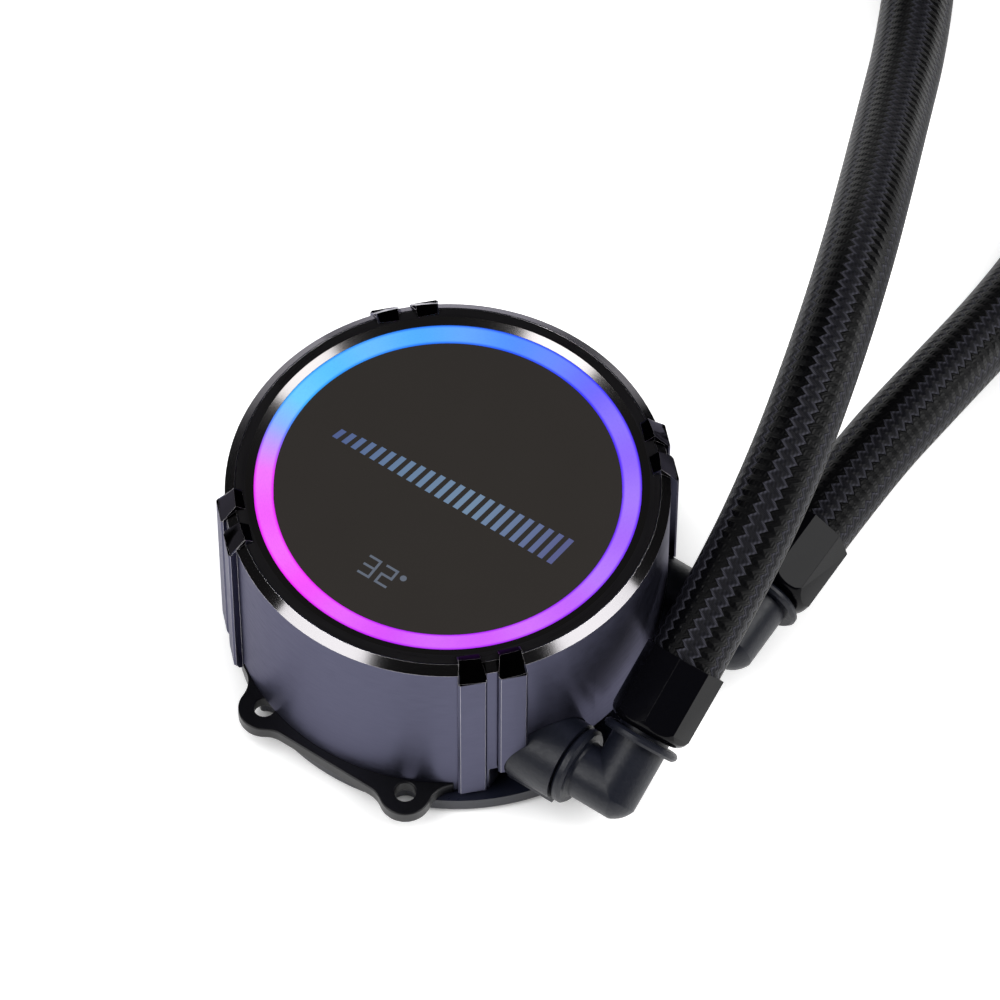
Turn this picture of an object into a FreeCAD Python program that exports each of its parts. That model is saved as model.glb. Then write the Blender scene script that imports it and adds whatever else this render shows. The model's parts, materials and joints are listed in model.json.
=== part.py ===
import FreeCAD, Part
import math
import os
import Sketcher

V = FreeCAD.Vector
UP = V(0, 0, 1)

# Pump head of a liquid cooler, in millimetres. The origin is the centre of the cold plate's contact
# face, +Z points up through the display and +X is the way in which the two ports face.
SIZES = {
    # outer shell
    "wall_radius": 35.0,
    "wall_thickness": 1.7,
    "chamfer_width": 1.5,
    "chamfer_rise": 1.1,
    # ribs of the shell
    "rib_angle": 46.3,
    "rib_width": 4.65,
    "rib_top_width": 3.5,
    "rib_pitch": 6.45,
    "rib_stand_out": 1.0,
    "rib_reach": 1.4,
    "rib_crest": 1.2,
    "rib_shoulder": 1.9,
    "rib_bevel": 0.35,
    "rib_foot": 1.2,
    # base
    "plate_inset": 8.0,
    "plate_thickness": 3.0,
    "base_step": 0.9,
    "base_shift": 1.7,
    "base_underside": 0.6,
    "base_thickness": 2.9,
    "base_edge": 0.4,
    "fit_gap": 0.2,
    # mounting plate with its four ears
    "mount_thickness": 2.4,
    "ear_spacing_x": 27.4,
    "ear_hole_inset": 1.1,
    "ear_radius": 4.2,
    "ear_hole_radius": 1.7,
    "ear_edge_out": 1.5,
    "ear_blend": 4.5,
    "ear_half_angle": 35.0,
    "stud_clearance": 0.8,
    # cold plate's fins
    "fin_margin": 1.5,
    "fin_pitch": 1.0,
    "fin_thickness": 0.5,
    "fin_height": 3.0,
    # pump body
    "jet_inset": 8.5,
    "jet_thickness": 1.2,
    "floor_thickness": 1.2,
    "chamber_depth": 6.6,
    "chamber_inset": 4.0,
    "cover_overlap": 0.5,
    "cover_recess": 0.4,
    "eye_radius": 1.6,
    "eye_circle": 5.0,
    "gasket_inset": 1.0,
    "gasket_width": 1.6,
    "gasket_depth": 0.8,
    # ports
    "port_inset": 18.25,
    "port_lift": 0.35,
    "boss_radius": 6.65,
    "boss_stand_out": 0.3,
    "foot_inset": 1.4,
    "foot_lift": 1.8,
    "foot_rise": 4.0,
    "port_bore": 4.65,
    "port_depth": 11.0,
    "channel_radius": 3.2,
    "feed_radius": 1.4,
    "feed_place": 8.3,
    "window_height": 5.6,
    "window_side": 1.9,
    # elbows
    "leg_run": 6.1,
    "leg_radius": 4.65,
    "corner_round": 4.95,
    "water_radius": 2.9,
    "running_gap": 0.05,
    "swivel_gap": 0.25,
    "collar_radius": 6.45,
    "collar_thickness": 1.75,
    "collar_rounding": 0.45,
    "collar_blend": 0.5,
    "outlet_collar": 8.0,
    "outlet_collar_thickness": 1.4,
    "elbow_1_tilt": 30.0,
    "elbow_2_tilt": 7.0,
    "seal_wire": 0.84,
    "seal_inset": 2.2,
    "spigot_play": 1.0,
    # hoses and what is crimped on them
    "hose_radius": 6.05,
    "hose_bore": 4.0,
    "ferrule_flats": 12.7,
    "ferrule_start": 10.0,
    "ferrule_length": 13.0,
    "ferrule_turn": -14.0,
    "ferrule_nose": 1.8,
    "ferrule_nose_length": 2.4,
    "hose_start": 11.3,
    "barb_length": 10.0,
    "barb_rise": 0.35,
    "barb_slope": 1.6,
    "first_run": 25.0,
    # rotor
    "shaft_radius": 0.8,
    "bearing_radius": 2.2,
    "magnet_radius": 5.7,
    "magnet_length": 8.35,
    "magnet_wall": 3.0,
    "impeller_inset": 2.1,
    "impeller_disc": 1.2,
    "blade_height": 2.6,
    "blade_count": 8,
    "blade_thickness": 0.8,
    "washer_thickness": 1.0,
    "side_gap": 0.5,
    # isolation cover and stator
    "cover_thickness": 2.0,
    "can_wall": 0.8,
    "stator_inset": 2.0,
    "stator_ring": 2.4,
    "stator_seat": 1.5,
    "stator_height": 3.0,
    "tooth_width": 3.0,
    "tooth_count": 6,
    "coil_build": 1.2,
    # boards
    "board_lift": 1.3,
    "board_inset": 4.3,
    "board_thickness": 1.6,
    "post_inset": 3.0,
    "post_radius": 2.4,
    "head_room": 3.3,
    "frame_wall": 1.8,
    "led_board_thickness": 1.0,
    "led_board_width": 4.6,
    "led_size": 2.0,
    "led_height": 0.8,
    "led_count": 24,
    # display
    "bezel_height": 5.8,
    "bezel_width": 2.9,
    "bezel_slope": 1.25,
    "bezel_lip": 0.9,
    "ring_width": 3.0,
    "ring_depth": 3.3,
    "ring_recess": 0.5,
    "glass_recess": 1.1,
    "glass_thickness": 1.2,
    "module_inset": 2.9,
    # screws
    "screw_radius": 1.25,
    "screw_head": 2.3,
    "screw_head_height": 1.3,
    "screw_bite": 3.5,
    "screw_spare": 0.5,
    "plate_screw_inset": 3.4,
    "key_radius": 1.0,
    # power lead's way out
    "grommet_width": 7.0,
    "grommet_height": 4.4,
    "grommet_place": 12.0,
    "grommet_stand_out": 0.8,
    "lead_width": 4.6,
    "lead_height": 1.6,
}

doc = FreeCAD.newDocument("pump_head")
sheet = doc.addObject("Spreadsheet::Sheet", "Sizes")
for row, (alias, number) in enumerate(SIZES.items(), start=1):
    sheet.set(f"A{row}", alias)
    sheet.set(f"B{row}", str(number))
    sheet.setAlias(f"B{row}", alias)
doc.recompute()


class Size:
    """A length or angle, held both as an expression on the sheet and as a number."""

    def __init__(self, text, value):
        self.text = text
        self.value = value

    def __add__(self, other):
        other = as_size(other)
        return Size(f"({self.text} + {other.text})", self.value + other.value)

    def __sub__(self, other):
        other = as_size(other)
        return Size(f"({self.text} - {other.text})", self.value - other.value)

    def __mul__(self, other):
        other = as_size(other)
        return Size(f"({self.text} * {other.text})", self.value * other.value)

    def __truediv__(self, other):
        other = as_size(other)
        return Size(f"({self.text} / {other.text})", self.value / other.value)

    def __neg__(self):
        return Size(f"(0 - {self.text})", -self.value)


def as_size(thing):
    if isinstance(thing, Size):
        return thing
    return Size(repr(float(thing)), float(thing))


def named(alias):
    return Size(f"Sizes.{alias}", float(SIZES[alias]))


def bind(thing, prop, wanted):
    """Ties a property of an object to an expression."""
    thing.setExpression(prop, as_size(wanted).text)


# Sizes that follow from the driving ones, used by several pieces
wall_radius = named("wall_radius")
shell_inside = wall_radius - named("wall_thickness")
body_radius = shell_inside - named("fit_gap")
rib_outside = wall_radius + named("rib_stand_out")
plate_radius = wall_radius - named("plate_inset")
hub_radius = plate_radius - named("fit_gap")
base_radius = wall_radius + named("base_step")
base_top = named("base_underside") + named("base_thickness")
plate_top = named("plate_thickness")
mount_top = base_top + named("mount_thickness")
ear_spread = named("ear_spacing_x") / 2
ear_reach = wall_radius - named("ear_hole_inset")
stud_pass = named("ear_hole_radius") + named("stud_clearance")
plate_screw_circle = plate_radius - named("plate_screw_inset")
ring_screw_circle = (plate_radius + shell_inside) / 2
tapped = named("screw_radius") + named("running_gap")
fin_top = plate_top + named("fin_height")
jet_radius = plate_radius - named("jet_inset")
jet_roof = fin_top + named("jet_thickness")
gasket_inner = jet_radius + named("gasket_inset")
gasket_outer = gasket_inner + named("gasket_width")
chamber_radius = jet_radius - named("chamber_inset")
chamber_floor = jet_roof + named("floor_thickness")
cover_radius = jet_radius + named("cover_overlap")
cover_low = chamber_floor + named("chamber_depth")
cover_top = cover_low + named("cover_thickness")
body_top = cover_top + named("cover_recess")
port_side = wall_radius - named("port_inset")
port_height = base_top + named("boss_radius") + named("port_lift")
boss_reach = wall_radius + named("boss_stand_out")
foot_half = named("boss_radius") - named("foot_inset")
foot_low = base_top + named("foot_lift")
spigot_radius = named("port_bore") - named("running_gap")
spigot_end = boss_reach - named("port_depth") + named("spigot_play")
collar_start = boss_reach + named("swivel_gap")
corner_reach = collar_start + named("collar_thickness") + named("leg_run")
seal_middle = named("port_bore") - 0.01 - named("seal_wire") / 2
seal_groove = seal_middle - named("seal_wire") / 2 - 0.02
seal_place = named("seal_wire") / 2 + named("seal_inset")
feed_line = port_side - named("channel_radius") + 0.15
washer_top = chamber_floor + named("washer_thickness")
disc_low = washer_top + named("running_gap")
disc_top = disc_low + named("impeller_disc")
hub_top = disc_top + named("blade_height")
magnet_top = hub_top + named("magnet_length")
impeller_radius = chamber_radius - named("impeller_inset")
can_inside = named("magnet_radius") + named("side_gap")
can_outside = can_inside + named("can_wall")
can_roof = magnet_top + named("side_gap")
shaft_top = can_roof + named("can_wall")
can_top = shaft_top + named("can_wall")
stator_outer = cover_radius - named("stator_inset")
stator_inner = stator_outer - named("stator_ring")
stator_low = cover_top + named("stator_seat")
frame_radius = shell_inside - named("fit_gap")
frame_inside = frame_radius - named("frame_wall")
board_radius = frame_inside - named("board_inset")
board_height = can_top + named("board_lift")
board_seat = board_height + named("board_thickness")
post_circle = board_radius - named("post_inset")
frame_top = board_seat + named("screw_head_height") + named("head_room") + named("frame_wall")
led_floor = frame_top + named("led_board_thickness")
rim_height = frame_top + named("bezel_height")
glass_top = rim_height - named("glass_recess")
glass_low = glass_top - named("glass_thickness")
ring_top = rim_height - named("ring_recess")
ring_low = rim_height - named("ring_depth")
ring_outer = shell_inside - named("bezel_width")
ring_inner = ring_outer - named("ring_width")
module_radius = ring_inner - named("module_inset")
hose_neck = named("leg_radius") - 0.3
barb_radius = named("hose_bore") - named("running_gap")
barb_slim = barb_radius - named("barb_rise")
ferrule_inset = named("hose_start") - named("ferrule_start")
collar_lift = named("ferrule_start") - named("outlet_collar") - named("outlet_collar_thickness")
end_reach = (named("port_depth") - named("spigot_play") + named("outlet_collar_thickness")
             + collar_lift + ferrule_inset)


def new_body(label):
    body = doc.addObject("PartDesign::Body", label)
    body.Label = label
    return body


def new_sketch(body, name, role="XY_Plane", height=None):
    """Makes a sketch on one of the body's own origin planes, moved along its normal by height."""
    plane = next(f for f in body.Origin.OriginFeatures if f.Role == role)
    sketch = body.newObject("Sketcher::SketchObject", f"{body.Name}_{name}")
    sketch.AttachmentSupport = [(plane, "")]
    sketch.MapMode = "FlatFace"
    if height is not None:
        bind(sketch, "AttachmentOffset.Base.z", height)
    return sketch


def hold_point(sketch, geometry, point, x, y):
    """Holds one point of a sketch at two expressions, measured from the sketch's origin."""
    for kind, axis, wanted in (("DistanceX", -2, x), ("DistanceY", -1, y)):
        wanted = as_size(wanted)
        if abs(wanted.value) < 1e-9:
            sketch.addConstraint(Sketcher.Constraint("PointOnObject", geometry, point, axis))
            continue
        constraint = Sketcher.Constraint(kind, -1, 1, geometry, point, wanted.value)
        index = sketch.addConstraint(constraint)
        sketch.setExpression(f"Constraints[{index}]", wanted.text)


def outline(sketch, corners):
    """Draws a closed straight-sided outline with every corner held by expressions."""
    corners = [(as_size(x), as_size(y)) for x, y in corners]
    first = sketch.GeometryCount
    count = len(corners)
    for k, (x, y) in enumerate(corners):
        next_x, next_y = corners[(k + 1) % count]
        start = V(x.value, y.value, 0)
        end = V(next_x.value, next_y.value, 0)
        sketch.addGeometry(Part.LineSegment(start, end), False)
    for k in range(count):
        following = first + (k + 1) % count
        sketch.addConstraint(Sketcher.Constraint("Coincident", first + k, 2, following, 1))
    for k, (x, y) in enumerate(corners):
        hold_point(sketch, first + k, 1, x, y)


def circle(sketch, x, y, radius):
    radius = as_size(radius)
    centre = V(as_size(x).value, as_size(y).value, 0)
    geometry = sketch.addGeometry(Part.Circle(centre, UP, radius.value), False)
    index = sketch.addConstraint(Sketcher.Constraint("Radius", geometry, radius.value))
    sketch.setExpression(f"Constraints[{index}]", radius.text)
    hold_point(sketch, geometry, 3, x, y)


def block(x, y, width, depth):
    """The corners of a rectangle about a centre."""
    x, y, half, deep = as_size(x), as_size(y), as_size(width) / 2, as_size(depth) / 2
    return [(x - half, y - deep), (x + half, y - deep), (x + half, y + deep), (x - half, y + deep)]


def volume_of(body):
    doc.recompute()
    return body.Shape.Volume if not body.Shape.isNull() else 0.0


def revolve(body, name, corners, axis="V_Axis", role="XZ_Plane"):
    sketch = new_sketch(body, name, role)
    outline(sketch, corners)
    feature = body.newObject("PartDesign::Revolution", f"{body.Name}_{name}_turn")
    feature.Profile = sketch
    feature.ReferenceAxis = (sketch, [axis])
    feature.Angle = 360
    return feature


def groove(body, name, corners, axis="V_Axis", role="XZ_Plane"):
    before = volume_of(body)
    sketch = new_sketch(body, name, role)
    outline(sketch, corners)
    feature = body.newObject("PartDesign::Groove", f"{body.Name}_{name}_groove")
    feature.Profile = sketch
    feature.ReferenceAxis = (sketch, [axis])
    feature.Angle = 360
    if volume_of(body) >= before:
        raise RuntimeError(f"the groove {name} takes nothing from {body.Label}")
    return feature


def pad(body, sketch, length, name):
    feature = body.newObject("PartDesign::Pad", f"{body.Name}_{name}_pad")
    feature.Profile = sketch
    bind(feature, "Length", length)
    return feature


def pocket(body, sketch, depth, name, along_normal=False):
    """Cuts a sketch into the body, against its normal unless told otherwise."""
    before = volume_of(body)
    feature = body.newObject("PartDesign::Pocket", f"{body.Name}_{name}_pocket")
    feature.Profile = sketch
    feature.Reversed = along_normal
    bind(feature, "Length", depth)
    if volume_of(body) >= before:
        raise RuntimeError(f"the pocket {name} takes nothing from {body.Label}")
    return feature


def around(body, features, count, name):
    """Repeats features round the Z axis."""
    pattern = body.newObject("PartDesign::PolarPattern", f"{body.Name}_{name}_pattern")
    pattern.Originals = features
    z_axis = next(f for f in body.Origin.OriginFeatures if f.Role == "Z_Axis")
    pattern.Axis = (z_axis, [""])
    pattern.Angle = 360
    pattern.Occurrences = int(as_size(count).value)
    body.Tip = pattern
    return pattern


def ring(label, inner, outer, low, high):
    """A plain ring or disc about the Z axis."""
    body = new_body(label)
    revolve(body, "section", [(inner, low), (outer, low), (outer, high), (inner, high)])
    return body


def group(label, solids):
    """Several like pieces, kept as separate solids in one object."""
    feature = doc.addObject("Part::Feature", label)
    feature.Label = label
    feature.Shape = Part.makeCompound(solids)
    return feature


def polar(radius, degrees, height=0.0):
    angle = math.radians(degrees)
    return V(radius * math.cos(angle), radius * math.sin(angle), height)


def cold_plate():
    """Copper plate: contact face below, cooling fins above, eight countersunk holes."""
    body = ring("cold_plate", 0, plate_radius, 0, plate_top)
    fins = new_sketch(body, "fin", height=plate_top)
    field = (jet_radius - named("fin_margin")) * math.sqrt(2)
    rows = int(field.value / SIZES["fin_pitch"]) - 1
    first = -named("fin_pitch") * ((rows - 1) / 2)
    outline(fins, block(0, first, field, named("fin_thickness")))
    one = pad(body, fins, named("fin_height"), "fin")
    pattern = body.newObject("PartDesign::LinearPattern", "cold_plate_fins")
    pattern.Originals = [one]
    pattern.Direction = (fins, ["V_Axis"])
    bind(pattern, "Length", named("fin_pitch") * (rows - 1))
    pattern.Occurrences = rows
    body.Tip = pattern
    heads = new_sketch(body, "heads")
    circle(heads, plate_screw_circle, 0, named("screw_head") + named("fit_gap"))
    depth = named("screw_head_height") + named("fit_gap")
    wide = pocket(body, heads, depth, "heads", along_normal=True)
    shanks = new_sketch(body, "shanks")
    circle(shanks, plate_screw_circle, 0, tapped)
    narrow = pocket(body, shanks, plate_top, "shanks", along_normal=True)
    around(body, [wide, narrow], 8, "screws")
    return body


def base_ring():
    """Skirt below the shell, set towards the ports, with a bevelled lower edge and countersunk holes."""
    body = new_body("base_ring")
    low = named("base_underside")
    edge = named("base_edge")
    disc = [(0, low), (base_radius - edge, low), (base_radius, low + edge), (base_radius, base_top), (0, base_top)]
    turned = revolve(body, "section", disc)
    bind(turned.Profile[0], "AttachmentOffset.Base.x", named("base_shift"))
    inner = plate_radius + named("fit_gap")
    groove(body, "opening", [(0, 0), (inner, 0), (inner, base_top + 1.0), (0, base_top + 1.0)])
    heads = new_sketch(body, "heads", height=low)
    circle(heads, ring_screw_circle, 0, named("screw_head") + named("fit_gap"))
    wide = pocket(body, heads, named("screw_head_height"), "heads", along_normal=True)
    shanks = new_sketch(body, "shanks", height=low)
    circle(shanks, ring_screw_circle, 0, tapped)
    narrow = pocket(body, shanks, named("base_thickness"), "shanks", along_normal=True)
    around(body, [wide, narrow], 4, "screws")
    passes = new_sketch(body, "stud_passes", height=low)
    for x, y in ((1, 1), (-1, 1), (-1, -1), (1, -1)):
        circle(passes, named("base_shift") + ear_spread * x, ear_reach * y, stud_pass)
    pocket(body, passes, named("base_thickness"), "stud_passes", along_normal=True)
    return body


def cylinder(name, radius, length, place=V(), turn=FreeCAD.Rotation(), angle=None):
    solid = doc.addObject("Part::Cylinder", name)
    bind(solid, "Radius", radius)
    bind(solid, "Height", length)
    if angle is not None:
        bind(solid, "Angle", angle)
    solid.Placement = FreeCAD.Placement(place, turn)
    return solid


def fuse(name, parts):
    joined = doc.addObject("Part::MultiFuse", name)
    joined.Shapes = parts
    return joined


def cut(name, base, tool):
    result = doc.addObject("Part::Cut", name)
    result.Base = base
    result.Tool = tool
    return result


def mounting_plate():
    """Steel plate clamped under the pump body, whose ears reach out through the shell's windows."""
    thick = named("mount_thickness")
    low = V(0, 0, base_top.value)
    shift = named("base_shift")
    edge_out = wall_radius + named("ear_edge_out")
    rim = cylinder("ear_rim", wall_radius + named("boss_stand_out"), thick, low)
    bar = doc.addObject("Part::Box", "ear_bar")
    bind(bar, "Length", ear_spread * 2)
    bind(bar, "Width", edge_out * 2)
    bind(bar, "Height", thick)
    bar.Placement.Base = V((shift - ear_spread).value, -edge_out.value, base_top.value)
    lobes = []
    holes = []
    for number, (x, y) in enumerate([(1, 1), (-1, 1), (-1, -1), (1, -1)], start=1):
        place = V((shift + ear_spread * x).value, (ear_reach * y).value, base_top.value)
        lobes.append(cylinder(f"ear_lobe_{number}", named("ear_radius"), thick, place))
        holes.append(cylinder(f"ear_hole_{number}", named("ear_hole_radius"), thick, place))
    sharp = fuse("ears_sharp", [rim, bar] + lobes)
    sharp.Refine = True
    doc.recompute()
    centres = [lobe.Placement.Base for lobe in lobes]
    edges = []
    for index, edge in enumerate(sharp.Shape.Edges, start=1):
        middle = edge.CenterOfMass
        upright = abs(edge.tangentAt(edge.FirstParameter).z) > 0.99
        ways = [math.hypot(middle.x - c.x, middle.y - c.y) for c in centres]
        if upright and abs(min(ways) - SIZES["ear_radius"]) < 0.01:
            outside = math.hypot(middle.x, middle.y) > wall_radius.value
            if outside:
                edges.append((index, SIZES["ear_blend"], SIZES["ear_blend"]))
    blended = doc.addObject("Part::Fillet", "ears_blended")
    blended.Base = sharp
    blended.Edges = edges
    sectors = []
    for side, middle in (("back", SIZES["rib_angle"] + 45.0), ("front", SIZES["rib_angle"] + 225.0)):
        turn = FreeCAD.Rotation(UP, middle - SIZES["ear_half_angle"])
        far = wall_radius * 2
        sector = cylinder(f"ear_sector_{side}", far, thick, low, turn, named("ear_half_angle") * 2)
        sectors.append(sector)
    wedge = fuse("ear_sectors", sectors)
    ears = doc.addObject("Part::Common", "ears")
    ears.Base = blended
    ears.Tool = wedge
    disc = cylinder("mount_disc", body_radius, thick, low)
    whole = fuse("mount_whole", [disc, ears])
    opening = cylinder("mount_opening", plate_radius + named("fit_gap"), thick, low)
    drills = []
    for number in range(4):
        place = polar(ring_screw_circle.value, 90.0 * number, base_top.value)
        drills.append(cylinder(f"mount_drill_{number + 1}", tapped, thick, place))
    notches = []
    for side, name in ((-1, "front"), (1, "back")):
        notch = doc.addObject("Part::Box", f"mount_notch_{name}")
        half = named("boss_radius") + named("fit_gap")
        bind(notch, "Length", plate_radius)
        bind(notch, "Width", half * 2)
        bind(notch, "Height", thick)
        notch.Placement.Base = V((hub_radius - 1.0).value, side * port_side.value - half.value, base_top.value)
        notches.append(notch)
    tools = fuse("mount_tools", [opening] + holes + drills + notches)
    plate = cut("mounting_plate", whole, tools)
    plate.Label = "mounting_plate"
    return plate


def pump_body():
    """Moulded body: fin chamber below, volute above, two port bosses on feet, four board posts."""
    body = new_body("pump_body")
    shelf = mount_top
    section = [(0, plate_top), (hub_radius, plate_top), (hub_radius, shelf), (body_radius, shelf),
               (body_radius, body_top), (0, body_top)]
    revolve(body, "section", section)
    bosses = new_sketch(body, "bosses", "YZ_Plane", hub_radius)
    for side in (-1, 1):
        circle(bosses, port_side * side, port_height, named("boss_radius"))
    pad(body, bosses, boss_reach - hub_radius, "bosses")
    feet = new_sketch(body, "feet", "YZ_Plane", hub_radius)
    middle = foot_low + named("foot_rise") / 2
    for side in (-1, 1):
        outline(feet, block(port_side * side, middle, foot_half * 2, named("foot_rise")))
    pad(body, feet, boss_reach - hub_radius, "feet")
    posts = new_sketch(body, "posts", height=body_top)
    circle(posts, post_circle, 0, named("post_radius"))
    one_post = pad(body, posts, board_height - body_top, "posts")
    around(body, [one_post], 4, "posts")
    groove(body, "fin_chamber", [(0, 0), (jet_radius, 0), (jet_radius, jet_roof), (0, jet_roof)])
    groove(body, "volute", [
        (0, chamber_floor), (chamber_radius, chamber_floor), (chamber_radius, cover_low),
        (cover_radius, cover_low), (cover_radius, body_top), (0, body_top)])
    seal = new_sketch(body, "seal", height=plate_top)
    circle(seal, 0, 0, gasket_outer)
    circle(seal, 0, 0, gasket_inner)
    pocket(body, seal, named("gasket_depth"), "seal", along_normal=True)
    eyes = new_sketch(body, "eyes", height=jet_roof)
    circle(eyes, named("eye_circle"), 0, named("eye_radius"))
    eye = pocket(body, eyes, named("floor_thickness"), "eyes", along_normal=True)
    around(body, [eye], 4, "eyes")
    seat = new_sketch(body, "shaft_seat", height=jet_roof)
    circle(seat, 0, 0, named("shaft_radius"))
    pocket(body, seat, named("floor_thickness"), "shaft_seat", along_normal=True)
    bores = new_sketch(body, "bores", "YZ_Plane", boss_reach)
    for side in (-1, 1):
        circle(bores, port_side * side, port_height, named("port_bore"))
    pocket(body, bores, named("port_depth"), "bores")
    ways = ((-1, "outflow", boss_reach + named("channel_radius")), (1, "inflow", boss_reach - named("feed_place")))
    for side, name, reach in ways:
        channel = new_sketch(body, name, "YZ_Plane", boss_reach)
        circle(channel, port_side * side, port_height, named("channel_radius"))
        pocket(body, channel, reach, name)
    feed = new_sketch(body, "feed", height=jet_roof)
    circle(feed, named("feed_place"), feed_line, named("feed_radius"))
    pocket(body, feed, port_height - jet_roof, "feed", along_normal=True)
    hole_depth = named("screw_bite") + named("screw_spare")
    plate_holes = new_sketch(body, "plate_holes", height=plate_top)
    circle(plate_holes, plate_screw_circle, 0, tapped)
    one = pocket(body, plate_holes, hole_depth, "plate_holes", along_normal=True)
    around(body, [one], 8, "plate_holes")
    ring_holes = new_sketch(body, "ring_holes", height=shelf)
    circle(ring_holes, ring_screw_circle, 0, tapped)
    two = pocket(body, ring_holes, hole_depth, "ring_holes", along_normal=True)
    around(body, [two], 4, "ring_holes")
    post_holes = new_sketch(body, "post_holes", height=board_height)
    circle(post_holes, post_circle, 0, tapped)
    three = pocket(body, post_holes, hole_depth, "post_holes")
    around(body, [three], 4, "post_holes")
    return body


def rib_corners(offset):
    """Plan of one rib beside the middle line of its pair, along X: narrow at the rim, wide outside."""
    inner = shell_inside - named("rib_reach")
    crest = wall_radius - named("chamfer_width")
    narrow = named("rib_top_width") / 2
    wide = named("rib_width") / 2
    bevel = named("rib_bevel")
    face = wide - bevel
    return [(inner, offset - narrow), (crest, offset - narrow),
            (rib_outside - bevel, offset - wide), (rib_outside, offset - face),
            (rib_outside, offset + face), (rib_outside - bevel, offset + wide),
            (crest, offset + narrow), (inner, offset + narrow)]


def outer_shell():
    """Turned wall with a chamfered top edge, four pairs of ribs, and windows for ears and ports."""
    body = new_body("outer_shell")
    inner = shell_inside
    chamfer_low = rim_height - named("chamfer_rise")
    crest = wall_radius - named("chamfer_width")
    revolve(body, "wall", [(inner, base_top), (wall_radius, base_top), (wall_radius, chamfer_low),
                           (crest, rim_height), (inner, rim_height)])
    top = rim_height + named("rib_crest")
    ribs = new_sketch(body, "ribs", height=base_top)
    for side in (-1, 1):
        outline(ribs, rib_corners(named("rib_pitch") / 2 * side))
    ribs.AttachmentOffset.Rotation = FreeCAD.Rotation(UP, SIZES["rib_angle"])
    rib_pad = pad(body, ribs, top - base_top, "ribs")
    around(body, [rib_pad], 4, "ribs")
    shoulder = rim_height - named("rib_shoulder")
    beyond = rib_outside + 2.0
    tip = inner - named("rib_reach")
    groove(body, "rib_slopes", [(tip, rim_height + 0.01), (crest, top), (rib_outside, shoulder),
                                (beyond, shoulder), (beyond, top + 1.0), (tip, top + 1.0)])
    groove(body, "bore", [(0, 0), (inner, 0), (inner, rim_height), (0, rim_height)])
    foot = named("rib_foot")
    low = base_top - 1.0
    groove(body, "rib_feet", [(beyond, low), (beyond, base_top + foot), (rib_outside, base_top + foot),
                              (rib_outside - foot * 0.3, base_top + foot * 0.3), (wall_radius - 0.1, base_top),
                              (wall_radius - 0.1, low)])
    ears = new_sketch(body, "ear_windows", height=base_top)
    slope = math.tan(math.radians(SIZES["ear_half_angle"]))
    near = inner / 2
    far = wall_radius * 2
    ears.AttachmentOffset.Rotation = FreeCAD.Rotation(UP, SIZES["rib_angle"] - 45.0)
    for side in (-1, 1):
        outline(ears, [(-(near * slope), near * side), (-(far * slope), far * side),
                       (far * slope, far * side), (near * slope, near * side)])
    pocket(body, ears, named("mount_thickness") + 0.05, "ear_windows", along_normal=True)
    clear = named("boss_radius") + named("fit_gap")
    start = inner * 0.75
    through = beyond - start
    ports = new_sketch(body, "port_windows", "YZ_Plane", start)
    for side in (-1, 1):
        circle(ports, port_side * side, port_height, clear)
    pocket(body, ports, through, "port_windows", along_normal=True)
    low_window = new_sketch(body, "low_window", "YZ_Plane", start)
    width = (port_side + clear + named("window_side")) * 2
    tall = named("window_height")
    outline(low_window, block(0, base_top + tall / 2, width, tall))
    pocket(body, low_window, through, "low_window", along_normal=True)
    lead = new_sketch(body, "lead_window", "YZ_Plane", -start)
    gap = named("fit_gap") * 2
    outline(lead, block(0, named("grommet_place"), named("grommet_width") + gap, named("grommet_height") + gap))
    pocket(body, lead, through, "lead_window")
    return body


def plate_gasket():
    play = named("running_gap")
    high = plate_top + named("gasket_depth") - play
    return ring("plate_gasket", gasket_inner + play, gasket_outer - play, plate_top, high)


def jet_plate():
    """Thin plate over the fins: water comes down through the slot and goes up through the middle."""
    body = ring("jet_plate", 0, jet_radius - named("running_gap"), fin_top, jet_roof)
    ways = new_sketch(body, "ways", height=fin_top)
    circle(ways, 0, 0, named("eye_circle") + named("eye_radius"))
    outline(ways, block(0, feed_line, (named("feed_place") + named("feed_radius")) * 2, named("feed_radius") * 2))
    pocket(body, ways, named("jet_thickness"), "ways", along_normal=True)
    return body


def screws(label, count, circle_radius, low, shank):
    """Socket-head screws, heads down, standing in a circle."""
    head = Part.makeCylinder(SIZES["screw_head"], SIZES["screw_head_height"])
    rod = Part.makeCylinder(SIZES["screw_radius"], shank + SIZES["screw_head_height"])
    key = Part.makeCylinder(SIZES["key_radius"], SIZES["screw_head_height"] * 0.6)
    one = head.fuse(rod).cut(key).removeSplitter()
    solids = []
    for number in range(count):
        solid = one.copy()
        solid.Placement = FreeCAD.Placement(polar(circle_radius, 360.0 * number / count, low), FreeCAD.Rotation())
        solids.append(solid)
    return group(label, solids)


def top_screws(label, count, circle_radius, seat, shank):
    """Socket-head screws, heads up on a seat."""
    head = Part.makeCylinder(SIZES["screw_head"], SIZES["screw_head_height"])
    rod = Part.makeCylinder(SIZES["screw_radius"], shank, V(0, 0, -shank))
    recess = SIZES["screw_head_height"] * 0.6
    key = Part.makeCylinder(SIZES["key_radius"], recess, V(0, 0, SIZES["screw_head_height"] - recess))
    one = head.fuse(rod).cut(key).removeSplitter()
    solids = []
    for number in range(count):
        solid = one.copy()
        solid.Placement = FreeCAD.Placement(polar(circle_radius, 360.0 * number / count, seat), FreeCAD.Rotation())
        solids.append(solid)
    return group(label, solids)


def shaft():
    return ring("shaft", 0, named("shaft_radius"), jet_roof, shaft_top)


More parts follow.
